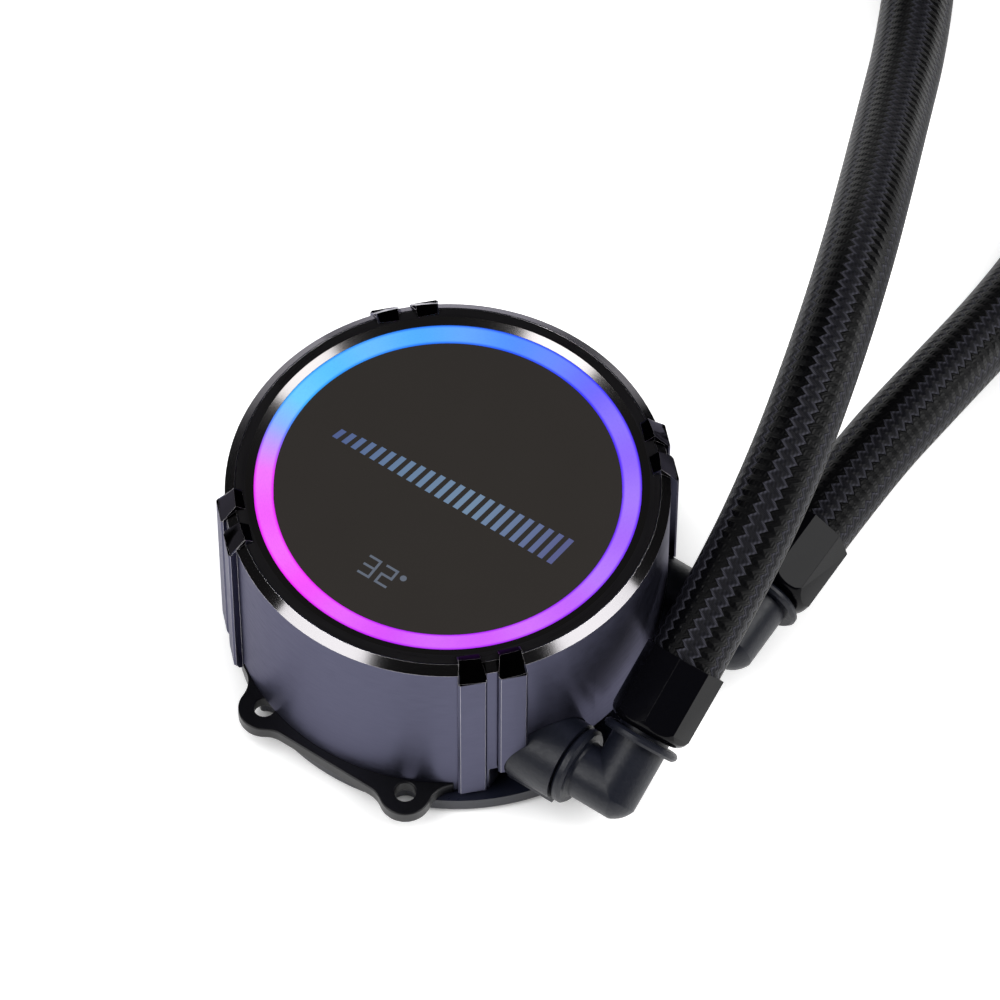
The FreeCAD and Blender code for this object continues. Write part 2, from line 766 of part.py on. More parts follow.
def impeller():
    """Disc with curved blades round a hub, open upwards."""
    hub = named("magnet_radius")
    body = new_body("impeller")
    bore = named("bearing_radius")
    revolve(body, "section", [(bore, disc_low), (impeller_radius, disc_low),
                              (impeller_radius, disc_top), (hub, disc_top),
                              (hub, hub_top), (bore, hub_top)])
    blade = new_sketch(body, "blade", height=disc_top)
    thick = named("blade_thickness")
    inner = hub - 0.6
    outer = impeller_radius - 0.3
    middle = (inner + outer) / 2
    lead = 1.6
    trail = 4.0
    outline(blade, [(inner, 0), (middle, lead), (outer, trail), (outer - 0.4, thick + trail),
                    (middle - 0.5, thick + lead), (inner, thick)])
    one = pad(body, blade, named("blade_height"), "blade")
    around(body, [one], named("blade_count"), "blades")
    return body


def rotor_magnet():
    inner = named("magnet_radius") - named("magnet_wall")
    return ring("rotor_magnet", inner, named("magnet_radius"), hub_top, magnet_top)


def rotor_bearing():
    """Carbon bush that runs on the fixed shaft and carries impeller and magnet."""
    body = new_body("rotor_bearing")
    bore = named("shaft_radius") + named("running_gap")
    wide = named("magnet_radius") - named("magnet_wall")
    slim = named("bearing_radius")
    revolve(body, "section", [(bore, disc_low), (slim, disc_low), (slim, hub_top), (wide, hub_top),
                              (wide, magnet_top), (bore, magnet_top)])
    return body


def isolation_cover():
    """Lid of the volute with a thin can round the magnet and a seat for the stator."""
    body = new_body("isolation_cover")
    outer = cover_radius - named("running_gap")
    revolve(body, "section", [
        (can_inside, cover_low), (outer, cover_low), (outer, cover_top),
        (stator_outer, cover_top), (stator_outer, stator_low),
        (stator_inner, stator_low), (stator_inner, cover_top), (can_outside, cover_top),
        (can_outside, can_top), (0, can_top), (0, shaft_top), (named("shaft_radius"), shaft_top),
        (named("shaft_radius"), can_roof), (can_inside, can_roof)])
    return body


def stator_core():
    """Laminated ring with inward teeth."""
    body = ring("stator_core", stator_inner, stator_outer, stator_low, stator_low + named("stator_height"))
    tooth = new_sketch(body, "tooth", height=stator_low)
    inner = can_outside + named("side_gap")
    outer = stator_outer - named("stator_ring") / 2
    half = named("tooth_width") / 2
    outline(tooth, [(inner, -half), (outer, -half), (outer, half), (inner, half)])
    one = pad(body, tooth, named("stator_height"), "tooth")
    around(body, [one], named("tooth_count"), "teeth")
    return body


def stator_coils():
    """One winding round each tooth."""
    build = SIZES["coil_build"]
    start = can_outside.value + SIZES["side_gap"] + 0.6
    length = stator_inner.value - 0.4 - start
    width = SIZES["tooth_width"]
    tall = SIZES["stator_height"]
    low = stator_low.value
    outside = Part.makeBox(length, width + 2 * build, tall + 2 * build, V(start, -width / 2 - build, low - build))
    corners = [edge for edge in outside.Edges if abs(edge.tangentAt(0).x) > 0.99]
    outside = outside.makeFillet(build * 0.9, corners)
    inside = Part.makeBox(length, width, tall, V(start, -width / 2, low))
    one = outside.cut(inside)
    count = int(SIZES["tooth_count"])
    solids = []
    for number in range(count):
        solid = one.copy()
        solid.rotate(V(), UP, 360.0 * number / count)
        solids.append(solid)
    return group("stator_coils", solids)


def motor_board():
    body = ring("motor_board", 0, board_radius, board_height, board_seat)
    holes = new_sketch(body, "holes", height=board_height)
    circle(holes, post_circle, 0, tapped)
    one = pocket(body, holes, named("board_thickness"), "holes", along_normal=True)
    around(body, [one], 4, "holes")
    return body


def display_frame():
    """Inverted cup that stands on the pump body and carries LED board, display and bezel."""
    body = new_body("display_frame")
    roof = frame_top - named("frame_wall")
    opening = module_radius / 3
    revolve(body, "section", [(frame_inside, body_top), (frame_radius, body_top), (frame_radius, frame_top),
                              (opening, frame_top), (opening, roof), (frame_inside, roof)])
    lead = new_sketch(body, "lead_notch", "YZ_Plane", -(frame_inside - named("frame_wall")))
    tall = named("lead_height") + named("fit_gap") * 2
    outline(lead, block(0, body_top + tall / 2, named("lead_width"), tall))
    pocket(body, lead, named("frame_wall") * 3, "lead_notch")
    return body


def led_board():
    middle = (ring_inner + ring_outer) / 2
    half = named("led_board_width") / 2
    return ring("led_board", middle - half, middle + half, frame_top, led_floor)


def leds():
    side = SIZES["led_size"]
    radius = (ring_inner + ring_outer).value / 2
    one = Part.makeBox(side, side, SIZES["led_height"], V(radius - side / 2, -side / 2, led_floor.value))
    count = int(SIZES["led_count"])
    solids = []
    for number in range(count):
        solid = one.copy()
        solid.rotate(V(), UP, 360.0 * (number + 0.5) / count)
        solids.append(solid)
    return group("leds", solids)


def light_ring():
    """Clouded ring whose top slopes gently down to the glass."""
    body = new_body("light_ring")
    revolve(body, "section", [(ring_inner, ring_low), (ring_outer, ring_low),
                              (ring_outer, ring_top), (ring_inner, glass_top)])
    return body


def top_bezel():
    """Gloss rim that slopes down to the light ring, held down by the ribs' tips."""
    body = new_body("top_bezel")
    inner = ring_outer + named("running_gap")
    outer = shell_inside - named("running_gap")
    foot = inner + named("bezel_lip")
    flat = inner + named("bezel_slope")
    revolve(body, "section", [(foot, frame_top), (outer, frame_top), (outer, rim_height), (flat, rim_height),
                              (inner, ring_top), (inner, ring_low), (foot, ring_low)])
    return body


def display_module():
    return ring("display_module", 0, module_radius, frame_top, glass_low)


def display_glass():
    return ring("display_glass", 0, ring_inner - named("running_gap"), glass_low, glass_top)


def cable_grommet():
    """Rubber sleeve in the shell's rear window, where the power lead would come out."""
    body = new_body("cable_grommet")
    outside = wall_radius + named("grommet_stand_out")
    place = named("grommet_place")
    face = new_sketch(body, "face", "YZ_Plane", -outside)
    outline(face, block(0, place, named("grommet_width"), named("grommet_height")))
    pad(body, face, outside - body_radius - named("running_gap"), "face")
    hole = new_sketch(body, "hole", "YZ_Plane", -outside)
    outline(hole, block(0, place, named("lead_width"), named("lead_height")))
    pocket(body, hole, named("grommet_stand_out") * 1.5, "hole", along_normal=True)
    return body


def turned_along_x(label, corners):
    """A piece turned about the X axis: corners are (place along X, radius)."""
    body = new_body(label)
    revolve(body, "section", corners, axis="H_Axis", role="XY_Plane")
    return body


def spigot_section(end, collar, leg_end):
    """Spigot with its seal groove, then the collar and the start of the leg."""
    groove_start = end + seal_place - named("seal_wire") / 2 - 0.2
    groove_end = end + seal_place + named("seal_wire") / 2 + 0.2
    deep = seal_groove
    shoulder = collar + named("collar_thickness")
    rounding = named("collar_rounding")
    blend = named("collar_blend")
    return [(end, 0), (end, spigot_radius - 0.5), (end + 0.5, spigot_radius), (groove_start, spigot_radius),
            (groove_start, deep), (groove_end, deep), (groove_end, spigot_radius), (collar, spigot_radius),
            (collar, named("collar_radius") - rounding), (collar + rounding, named("collar_radius")),
            (shoulder - rounding, named("collar_radius")),
            (shoulder, named("collar_radius") - rounding), (shoulder, named("leg_radius") + blend),
            (shoulder + blend * 0.3, named("leg_radius") + blend * 0.3), (shoulder + blend, named("leg_radius")),
            (leg_end, named("leg_radius")), (leg_end, 0)]


def barb_section(start, neck):
    """Leg, collar, neck and two barbs that go up the hose."""
    collar = named("outlet_collar")
    collar_end = collar + named("outlet_collar_thickness")
    rounding = named("collar_rounding")
    hose = named("hose_start")
    slope = named("barb_slope")
    first = hose + named("barb_length") / 2
    end = hose + named("barb_length")
    return [(start, 0), (start, named("leg_radius")), (collar, named("leg_radius")),
            (collar, named("collar_radius") - rounding), (collar + rounding, named("collar_radius")),
            (collar_end - rounding, named("collar_radius")), (collar_end, named("collar_radius") - rounding),
            (collar_end, neck), (hose, neck), (hose, barb_slim), (first - slope, barb_radius), (first, barb_radius),
            (first, barb_slim), (end - slope, barb_radius), (end, barb_slim), (end, 0)]


def elbow(number, side, tilt):
    """Swivel elbow: spigot and collar in the port, a tight corner, then the hose barb."""
    corner = corner_reach
    entry = turned_along_x(f"elbow_{number}_entry", spigot_section(spigot_end, collar_start, corner))
    outlet = turned_along_x(f"elbow_{number}_outlet", barb_section(as_size(0), hose_neck))
    outlet.Placement = FreeCAD.Placement(V(corner.value, 0, 0), FreeCAD.Rotation(UP, 90))
    x_way = FreeCAD.Rotation(V(0, 1, 0), 90)
    y_way = FreeCAD.Rotation(V(1, 0, 0), -90)
    over = named("leg_radius") * 2
    one = cylinder(f"elbow_{number}_corner_x", named("leg_radius"), over * 2,
                   V(corner.value - over.value, 0, 0), x_way)
    two = cylinder(f"elbow_{number}_corner_y", named("leg_radius"), over * 2,
                   V(corner.value, -over.value, 0), y_way)
    ball = doc.addObject("Part::Sphere", f"elbow_{number}_corner_ball")
    bind(ball, "Radius", named("corner_round"))
    ball.Placement.Base = V(corner.value, 0, 0)
    crossing = doc.addObject("Part::MultiCommon", f"elbow_{number}_corner")
    crossing.Shapes = [one, two, ball]
    whole = fuse(f"elbow_{number}_whole", [entry, outlet, crossing])
    in_length = corner - spigot_end
    way_in = cylinder(f"elbow_{number}_way_in", named("water_radius"), in_length,
                      V(spigot_end.value, 0, 0), x_way)
    out_length = named("hose_start") + named("barb_length")
    way_out = cylinder(f"elbow_{number}_way_out", named("water_radius"), out_length, V(corner.value, 0, 0), y_way)
    turn_ball = doc.addObject("Part::Sphere", f"elbow_{number}_way_turn")
    bind(turn_ball, "Radius", named("water_radius"))
    turn_ball.Placement.Base = V(corner.value, 0, 0)
    water = fuse(f"elbow_{number}_water", [way_in, way_out, turn_ball])
    part = cut(f"elbow_{number}", whole, water)
    part.Label = f"elbow_{number}"
    part.Placement = port_frame(side, tilt)
    return part


def port_frame(side, tilt):
    """Place and turn of what swivels in a port: X along the port, Y along the outlet."""
    return FreeCAD.Placement(V(0, side * port_side.value, port_height.value), FreeCAD.Rotation(V(1, 0, 0), tilt))


def seal(label, place, way):
    """O-ring in the groove of a spigot that starts at place and points along way."""
    torus = doc.addObject("Part::Torus", label)
    torus.Label = label
    bind(torus, "Radius1", seal_middle)
    bind(torus, "Radius2", named("seal_wire") / 2)
    torus.Placement = FreeCAD.Placement(place + way * seal_place.value, FreeCAD.Rotation(UP, way))
    return torus


def ferrule(label, place, way, roll):
    """Eight-sided crimp sleeve over the end of the hose, rounded at the collar end. At roll 0 a flat is down."""
    body = new_body(label)
    length = named("ferrule_length")
    across = SIZES["ferrule_flats"] / 2
    sides = 8
    radius = Size(f"({named('ferrule_flats').text} / 2 / cos({180.0 / sides}))",
                  across / math.cos(math.pi / sides))
    sketch = new_sketch(body, "outline")
    corners = []
    for number in range(sides):
        angle = 360.0 / sides * (number + 0.5)
        x = Size(f"({radius.text} * cos({angle}))", radius.value * math.cos(math.radians(angle)))
        y = Size(f"({radius.text} * sin({angle}))", radius.value * math.sin(math.radians(angle)))
        corners.append((x, y))
    outline(sketch, corners)
    pad(body, sketch, length, "outline")
    across_size = named("ferrule_flats") / 2
    nose = named("ferrule_nose")
    reach = nose + radius - across_size
    profile = [(radius + 1.0, named("ferrule_nose_length")), (radius + 1.0, -0.01), (across_size - nose, -0.01)]
    steps = 6
    for step in range(1, steps):
        angle = math.radians(90.0 * step / steps)
        profile.append((across_size - nose + reach * math.sin(angle),
                        named("ferrule_nose_length") * (1.0 - math.cos(angle))))
    groove(body, "nose", profile)
    bore = named("hose_radius") + named("running_gap")
    neck = hose_neck + named("running_gap")
    beyond = length + 1.0
    groove(body, "bore", [(0, -1), (neck, -1), (neck, ferrule_inset), (bore, ferrule_inset),
                          (bore, beyond), (0, beyond)])
    heading = math.degrees(math.atan2(way.y, way.x))
    turn = FreeCAD.Rotation(UP, way) * FreeCAD.Rotation(UP, heading + roll)
    body.Placement = FreeCAD.Placement(place, turn)
    return body


def tube_path(points):
    """Straight runs joined by tangent arcs, each as large as its two runs allow."""
    edges = []
    radii = []
    last = points[0]
    for before, corner, after in zip(points, points[1:], points[2:]):
        back = (before - corner)
        ahead = (after - corner)
        shorter = min(back.Length, ahead.Length)
        setback = 0.45 * shorter
        back.normalize()
        ahead.normalize()
        half_turn = (math.pi - back.getAngle(ahead)) / 2
        radius = setback / math.tan(half_turn)
        start = corner + back * setback
        end = corner + ahead * setback
        inward = back + ahead
        inward.normalize()
        depth = radius / math.cos(half_turn) - radius
        edges.append(Part.LineSegment(last, start).toShape())
        edges.append(Part.Arc(start, corner + inward * depth, end).toShape())
        radii.append(radius)
        last = end
    edges.append(Part.LineSegment(last, points[-1]).toShape())
    return Part.Wire(edges), radii


def hose(label, points):
    """Hose wall swept along its route."""
    path, radii = tube_path(points)
    way = points[1] - points[0]
    way.normalize()
    walls = []
    for radius in (SIZES["hose_radius"], SIZES["hose_bore"]):
        ring_wire = Part.Wire([Part.makeCircle(radius, points[0], way)])
        walls.append(path.makePipeShell([ring_wire], True, False))
    solid = walls[0].cut(walls[1])
    section = math.pi * (SIZES["hose_radius"] ** 2 - SIZES["hose_bore"] ** 2)
    print(f"{label}: length {path.Length:.1f}, volume {solid.Volume:.1f} against {section * path.Length:.1f}, "
          f"least radius {min(radii):.1f}, radii {[round(r) for r in radii]}")
    feature = doc.addObject("Part::Feature", label)
    feature.Label = label
    feature.Shape = solid
    return feature


def end_fitting(label, place, way):
    """Barbed tail in the hose's far end, with a collar and a spigot like the elbows' own."""
    body = new_body(label)
    collar = named("port_depth") - named("spigot_play")
    collar_end = collar + named("outlet_collar_thickness")
    neck_end = collar_end + collar_lift + ferrule_inset
    slope = named("barb_slope")
    first = neck_end + named("barb_length") / 2
    end = neck_end + named("barb_length")
    groove_start = seal_place - named("seal_wire") / 2 - 0.2
    groove_end = seal_place + named("seal_wire") / 2 + 0.2
    water = named("water_radius")
    wide = named("ferrule_flats") / 2
    rounding = named("collar_rounding")
    section = [(water, 0), (spigot_radius - 0.5, 0), (spigot_radius, 0.5), (spigot_radius, groove_start),
               (seal_groove, groove_start), (seal_groove, groove_end), (spigot_radius, groove_end),
               (spigot_radius, collar), (wide - rounding, collar), (wide, collar + rounding),
               (wide, collar_end - rounding), (wide - rounding, collar_end),
               (hose_neck, collar_end), (hose_neck, neck_end), (barb_slim, neck_end), (barb_radius, first - slope),
               (barb_radius, first), (barb_slim, first), (barb_radius, end - slope), (barb_slim, end), (water, end)]
    revolve(body, "section", section)
    offset = -neck_end.value
    body.Placement = FreeCAD.Placement(place + way * offset, FreeCAD.Rotation(UP, way))
    return body


# Where each hose goes after its first straight run: along the way seen in the photograph, then in a
# wide curve over the surface behind the head
HOSE_POINTS = {
    1: [(41.0, 33.6, 36.6), (35.6, 53.6, 40.0), (28.7, 73.0, 38.0), (20.8, 91.6, 31.2), (12.4, 110.4, 22.4),
        (4.0, 129.6, 14.4), (-6.5, 150.0, 8.9), (-22.5, 168.5, 6.4), (-46.1, 184.2, 6.4),
        (-73.9, 190.2, 6.4), (-101.6, 184.9, 6.4), (-125.4, 169.6, 6.4), (-142.2, 147.0, 6.4),
        (-149.3, 121.2, 6.4)],
    2: [(44.6, 73.5, 14.2), (44.9, 95.0, 10.4), (43.4, 116.0, 7.3), (38.5, 139.5, 6.4), (25.5, 168.7, 6.4),
        (5.4, 193.6, 6.4), (-20.8, 212.0, 6.4), (-51.1, 222.4, 6.4), (-83.1, 224.1, 6.4),
        (-114.3, 216.9, 6.4), (-142.3, 201.4, 6.4), (-164.9, 178.8, 6.4)],
}


def hose_set(number, side):
    """Elbow, seal, ferrules, hose and far fitting of one port."""
    tilt = SIZES[f"elbow_{number}_tilt"]
    frame = port_frame(side, tilt)
    port_way = V(1, 0, 0)
    way = frame.Rotation.multVec(V(0, 1, 0))
    corner = frame.multVec(V(corner_reach.value, 0, 0))
    start = corner + way * SIZES["hose_start"]
    route = [start, start + way * SIZES["first_run"]]
    route += [V(*point) for point in HOSE_POINTS[number]]
    end = route[-1]
    back = route[-2] - end
    back.normalize()
    far_end = end - back * end_reach.value
    return [
        elbow(number, side, tilt),
        seal(f"elbow_{number}_seal", frame.multVec(V(spigot_end.value, 0, 0)), port_way),
        ferrule(f"ferrule_{number}", corner + way * SIZES["ferrule_start"], way, SIZES["ferrule_turn"]),
        hose(f"hose_{number}", route),
        ferrule(f"end_ferrule_{number}", end - back * ferrule_inset.value, back, 0.0),
        end_fitting(f"end_fitting_{number}", end, back),
        seal(f"end_seal_{number}", far_end, back),
    ]


def build():
    head_low = SIZES["fit_gap"]
    plate_shank = SIZES["plate_thickness"] - head_low - SIZES["screw_head_height"] + SIZES["screw_bite"]
    low = SIZES["base_underside"]
    ring_shank = mount_top.value - low - SIZES["screw_head_height"] + SIZES["screw_bite"]
    board_shank = SIZES["board_thickness"] + SIZES["screw_bite"]
    pieces = [
        cold_plate(), plate_gasket(), base_ring(), mounting_plate(), pump_body(), jet_plate(),
        screws("plate_screws", 8, plate_screw_circle.value, head_low, plate_shank),
        screws("ring_screws", 4, ring_screw_circle.value, low, ring_shank),
        shaft(),
        ring("thrust_washer", named("shaft_radius"), named("bearing_radius"), chamber_floor, washer_top),
        impeller(), rotor_magnet(), rotor_bearing(), isolation_cover(), stator_core(), stator_coils(),
        motor_board(),
        top_screws("board_screws", 4, post_circle.value, board_seat.value, board_shank),
        display_frame(), led_board(), leds(), light_ring(), top_bezel(), display_module(), display_glass(),
        outer_shell(), cable_grommet(),
    ]
    for number, side in ((1, -1), (2, 1)):
        pieces += hose_set(number, side)
    return pieces


pieces = build()
doc.recompute()
for item in doc.Objects:
    for bad in ("Invalid", "Error"):
        if bad in item.State:
            raise RuntimeError(f"{item.Label} is {item.State}")
for piece in pieces:
    if piece.Shape.isNull() or not piece.Shape.isValid():
        raise RuntimeError(f"{piece.Label} has no valid shape")
os.makedirs("parts", exist_ok=True)
for piece in pieces:
    piece.Shape.exportStep(f"parts/{piece.Label}.step")
    print(piece.Label, len(piece.Shape.Solids), round(piece.Shape.Volume, 1))
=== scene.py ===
import json
import math
import bmesh
import bpy
from mathutils import Matrix, Vector


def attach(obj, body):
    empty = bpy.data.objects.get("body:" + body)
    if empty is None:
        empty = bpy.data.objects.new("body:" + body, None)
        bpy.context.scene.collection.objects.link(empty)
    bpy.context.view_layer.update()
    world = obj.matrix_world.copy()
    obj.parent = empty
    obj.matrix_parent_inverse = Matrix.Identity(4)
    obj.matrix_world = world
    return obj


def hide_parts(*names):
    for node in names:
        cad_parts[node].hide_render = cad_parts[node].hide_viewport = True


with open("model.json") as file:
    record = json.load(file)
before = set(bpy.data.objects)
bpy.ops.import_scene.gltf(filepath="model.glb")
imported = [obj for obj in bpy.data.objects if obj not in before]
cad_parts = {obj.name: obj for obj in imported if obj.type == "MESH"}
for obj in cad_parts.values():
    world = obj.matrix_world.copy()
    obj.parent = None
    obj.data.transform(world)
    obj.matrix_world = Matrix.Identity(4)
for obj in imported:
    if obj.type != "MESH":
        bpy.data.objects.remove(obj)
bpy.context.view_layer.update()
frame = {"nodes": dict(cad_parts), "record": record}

scene = bpy.context.scene
nodes = frame["nodes"]
SLOTS = {part["node"]: part["material_slot"] for part in frame["record"]["subparts"]}
MM = 0.001


# ---------------------------------------------------------------- camera

CAMERA_PLACE = (0.3448, -0.4854, 0.9408)
CAMERA_ELEVATION = 0.98982
CAMERA_ROLL = 0.004206
CAMERA_YAW = math.radians(-34.6)
CAMERA_LENS = 248.4
SENSOR_WIDTH = 36
CLIP_END = 10


def place_camera():
    """Stands where the photograph was taken from: 57 degrees above the table, far off, long lens."""
    elevation, roll, yaw = CAMERA_ELEVATION, CAMERA_ROLL, CAMERA_YAW
    right = Vector((math.cos(yaw), -math.sin(yaw), 0))
    depth = Vector((math.sin(yaw), math.cos(yaw), 0))
    ahead = depth * math.cos(elevation) - Vector((0, 0, math.sin(elevation)))
    up = depth * math.sin(elevation) + Vector((0, 0, math.cos(elevation)))
    tilted_right = right * math.cos(roll) + up * math.sin(roll)
    tilted_up = up * math.cos(roll) - right * math.sin(roll)
    turn = Matrix((tilted_right, tilted_up, -ahead)).transposed()
    data = bpy.data.cameras.new("camera")
    data.sensor_width = SENSOR_WIDTH
    data.lens = CAMERA_LENS
    data.clip_end = CLIP_END
    camera = bpy.data.objects.new("camera", data)
    scene.collection.objects.link(camera)
    camera.location = CAMERA_PLACE
    camera.rotation_euler = turn.to_euler()
    scene.camera = camera


# ---------------------------------------------------------------- material helpers

def shade(red, green, blue):
    """A colour given as it shows on a screen, 0 to 255, turned into the linear values that shaders use."""
    linear = []
    for value in (red, green, blue):
        value = value / 255
        linear.append(value / 12.92 if value <= 0.04045 else ((value + 0.055) / 1.055) ** 2.4)
    return tuple(linear)


def new_material(name, color, roughness=0.5, metallic=0.0, **plain):
    """A Principled material with plain values. Further values are set by socket name."""
    material = bpy.data.materials.new(name)
    material.use_nodes = True
    shader = material.node_tree.nodes["Principled BSDF"]
    shader.inputs["Base Color"].default_value = (*color, 1)
    shader.inputs["Roughness"].default_value = roughness
    shader.inputs["Metallic"].default_value = metallic
    for socket, value in plain.items():
        shader.inputs[socket.replace("_", " ")].default_value = value
    return material, material.node_tree, shader


def feed(tree, value, socket):
    """Links another node's output to a socket, or sets a plain value on it."""
    if isinstance(value, bpy.types.NodeSocket):
        tree.links.new(value, socket)
    else:
        socket.default_value = value


def polar_place(tree):
    """Distance from the Z axis, angle round it and height of the shaded point, in metres and radians."""
    place = add_node(tree, "ShaderNodeTexCoord").outputs["Object"]
    x, y, z = add_node(tree, "ShaderNodeSeparateXYZ", in_0=place).outputs
    squares = calc(tree, "ADD", calc(tree, "MULTIPLY", x, x), calc(tree, "MULTIPLY", y, y))
    return calc(tree, "SQRT", squares), calc(tree, "ARCTAN2", y, x), z


def between(tree, value, low, high):
    """1 where low < value < high, otherwise 0."""
    above = calc(tree, "GREATER_THAN", value, low)
    below = calc(tree, "LESS_THAN", value, high)
    return calc(tree, "MULTIPLY", above, below)


# Positions of the Mix node's colour sockets
MIX_FIRST = 6
MIX_SECOND = 7
MIX_RESULT = 2


def blend_color(tree, mask, first, second, mode="MIX"):
    """Goes from the first colour to the second as the mask goes from 0 to 1."""
    node = add_node(tree, "ShaderNodeMix", data_type="RGBA", blend_type=mode)
    feed(tree, mask, node.inputs["Factor"])
    for socket, value in ((MIX_FIRST, first), (MIX_SECOND, second)):
        linked = isinstance(value, bpy.types.NodeSocket)
        feed(tree, value if linked else (*value, 1), node.inputs[socket])
    return node.outputs[MIX_RESULT]


def blend_value(tree, mask, first, second):
    """Goes from the first value to the second as the mask goes from 0 to 1."""
    return add_node(tree, "ShaderNodeMapRange", in_Value=mask, in_To_Min=first, in_To_Max=second).outputs[0]


class Group:
    """A node group with named sockets, and a short way to add and link nodes in it."""

    def __init__(self, name, inputs, outputs):
        self.tree = bpy.data.node_groups.new(name, "ShaderNodeTree")
        for label, kind, value in inputs:
            socket = self.tree.interface.new_socket(label, in_out="INPUT", socket_type=kind)
            if value is not None:
                socket.default_value = value
        for label, kind in outputs:
            self.tree.interface.new_socket(label, in_out="OUTPUT", socket_type=kind)
        self.start = self.tree.nodes.new("NodeGroupInput")
        self.end = self.tree.nodes.new("NodeGroupOutput")

    def add(self, kind, **sockets):
        """Adds a node to the group."""
        return add_node(self.tree, kind, **sockets)

    def give(self, label, source):
        """Links a node's output to one of the group's outputs."""
        self.tree.links.new(source, self.end.inputs[label])

    def asked(self, label):
        """One of the group's inputs, to link from."""
        return self.start.outputs[label]


def add_node(tree, kind, **sockets):
    """Adds a node. Plain attributes are set by name, sockets by position such as in_0."""
    node = tree.nodes.new(kind)
    for name, value in sockets.items():
        if name.startswith("in_"):
            key = name[3:]
            socket = node.inputs[int(key)] if key.isdigit() else node.inputs[key.replace("_", " ")]
            feed(tree, value, socket)
        else:
            setattr(node, name, value)
    return node


def calc(tree, operation, first, second=0.0, third=None):
    """A Math node's result."""
    sockets = {"in_0": first, "in_1": second}
    if third is not None:
        sockets["in_2"] = third
    return add_node(tree, "ShaderNodeMath", operation=operation, **sockets).outputs[0]


def use_group(tree, group, **values):
    """Places a node group and feeds its sockets, given by name."""
    node = tree.nodes.new("ShaderNodeGroup")
    node.node_tree = group
    for name, value in values.items():
        feed(tree, value, node.inputs[name.replace("_", " ")])
    return node


def ramp(tree, source, stops):
    """A Color Ramp with stops given as (place, colour)."""
    node = tree.nodes.new("ShaderNodeValToRGB")
    elements = node.color_ramp.elements
    while len(elements) < len(stops):
        elements.new(0.5)
    for element, (place, color) in zip(elements, stops):
        element.position = place
        element.color = (*color, 1)
    tree.links.new(source, node.inputs["Fac"])
    return node.outputs["Color"]


def grain_group():
    """Fine moulded or sprayed grain: an uneven height and a roughness that varies with it."""
    group = Group("Fine grain",
                  [("Scale", "NodeSocketFloat", 2500.0), ("Depth", "NodeSocketFloat", 0.00002),
                   ("Smoothest", "NodeSocketFloat", 0.35), ("Roughest", "NodeSocketFloat", 0.5)],
                  [("Roughness", "NodeSocketFloat"), ("Normal", "NodeSocketVector")])
    place = group.add("ShaderNodeTexCoord").outputs["Object"]
    fine = group.add("ShaderNodeTexNoise", in_Vector=place, in_Scale=group.asked("Scale"), in_Detail=3.0,
                     in_Roughness=0.6)
    broad = group.add("ShaderNodeTexNoise", in_Vector=place, in_Scale=90.0, in_Detail=2.0)
    mixed = calc(group.tree, "ADD", calc(group.tree, "MULTIPLY", fine.outputs["Fac"], 0.6),
                 calc(group.tree, "MULTIPLY", broad.outputs["Fac"], 0.4))
    spread = group.add("ShaderNodeMapRange", in_Value=mixed, in_From_Min=0.3, in_From_Max=0.7,
                       in_To_Min=group.asked("Smoothest"), in_To_Max=group.asked("Roughest"))
    bump = group.add("ShaderNodeBump", in_Height=fine.outputs["Fac"], in_Distance=group.asked("Depth"))
    group.give("Roughness", spread.outputs["Result"])
    group.give("Normal", bump.outputs["Normal"])
    return group.tree


# How little the angle counts in the turning marks, so that they are drawn out round the axis
LATHE_STRETCH = 0.004


def lathe_group():
    """Turning marks round the Z axis: fine lines across the way in which they run."""
    group = Group("Turned lines",
                  [("Lines", "NodeSocketFloat", 900.0), ("Depth", "NodeSocketFloat", 0.00001),
                   ("Smoothest", "NodeSocketFloat", 0.25), ("Roughest", "NodeSocketFloat", 0.4)],
                  [("Roughness", "NodeSocketFloat"), ("Normal", "NodeSocketVector")])
    tree = group.tree
    radius, angle, z = polar_place(tree)
    joined = group.add("ShaderNodeCombineXYZ", in_0=calc(tree, "MULTIPLY", angle, LATHE_STRETCH), in_1=radius,
                       in_2=z)
    lines = group.add("ShaderNodeTexNoise", in_Vector=joined.outputs[0], in_Scale=group.asked("Lines"),
                      in_Detail=4.0, in_Roughness=0.65)
    spread = group.add("ShaderNodeMapRange", in_Value=lines.outputs["Fac"], in_From_Min=0.35, in_From_Max=0.65,
                       in_To_Min=group.asked("Smoothest"), in_To_Max=group.asked("Roughest"))
    bump = group.add("ShaderNodeBump", in_Height=lines.outputs["Fac"], in_Distance=group.asked("Depth"))
    group.give("Roughness", spread.outputs["Result"])
    group.give("Normal", bump.outputs["Normal"])
    return group.tree


GRAIN = grain_group()
LATHE = lathe_group()


def grained(name, color, smoothest, roughest, scale=2500.0, depth=0.00002, metallic=0.0, **plain):
    """A finish with fine grain all over."""
    material, tree, shader = new_material(name, color, roughest, metallic, **plain)
    grain = use_group(tree, GRAIN, Scale=scale, Depth=depth, Smoothest=smoothest, Roughest=roughest)
    tree.links.new(grain.outputs["Roughness"], shader.inputs["Roughness"])
    tree.links.new(grain.outputs["Normal"], shader.inputs["Normal"])
    return material


def turned(name, color, smoothest, roughest, lines=900.0, depth=0.00001, metallic=1.0, **plain):
    """A metal finish with turning marks."""
    material, tree, shader = new_material(name, color, roughest, metallic, **plain)
    marks = use_group(tree, LATHE, Lines=lines, Depth=depth, Smoothest=smoothest, Roughest=roughest)
    tree.links.new(marks.outputs["Roughness"], shader.inputs["Roughness"])
    tree.links.new(marks.outputs["Normal"], shader.inputs["Normal"])
    return material


# The shell's polished top edge lies between two radii and above a height
EDGE_INNER = 33.45 * MM
EDGE_OUTER = 35.02 * MM
EDGE_LOW = 37.68 * MM
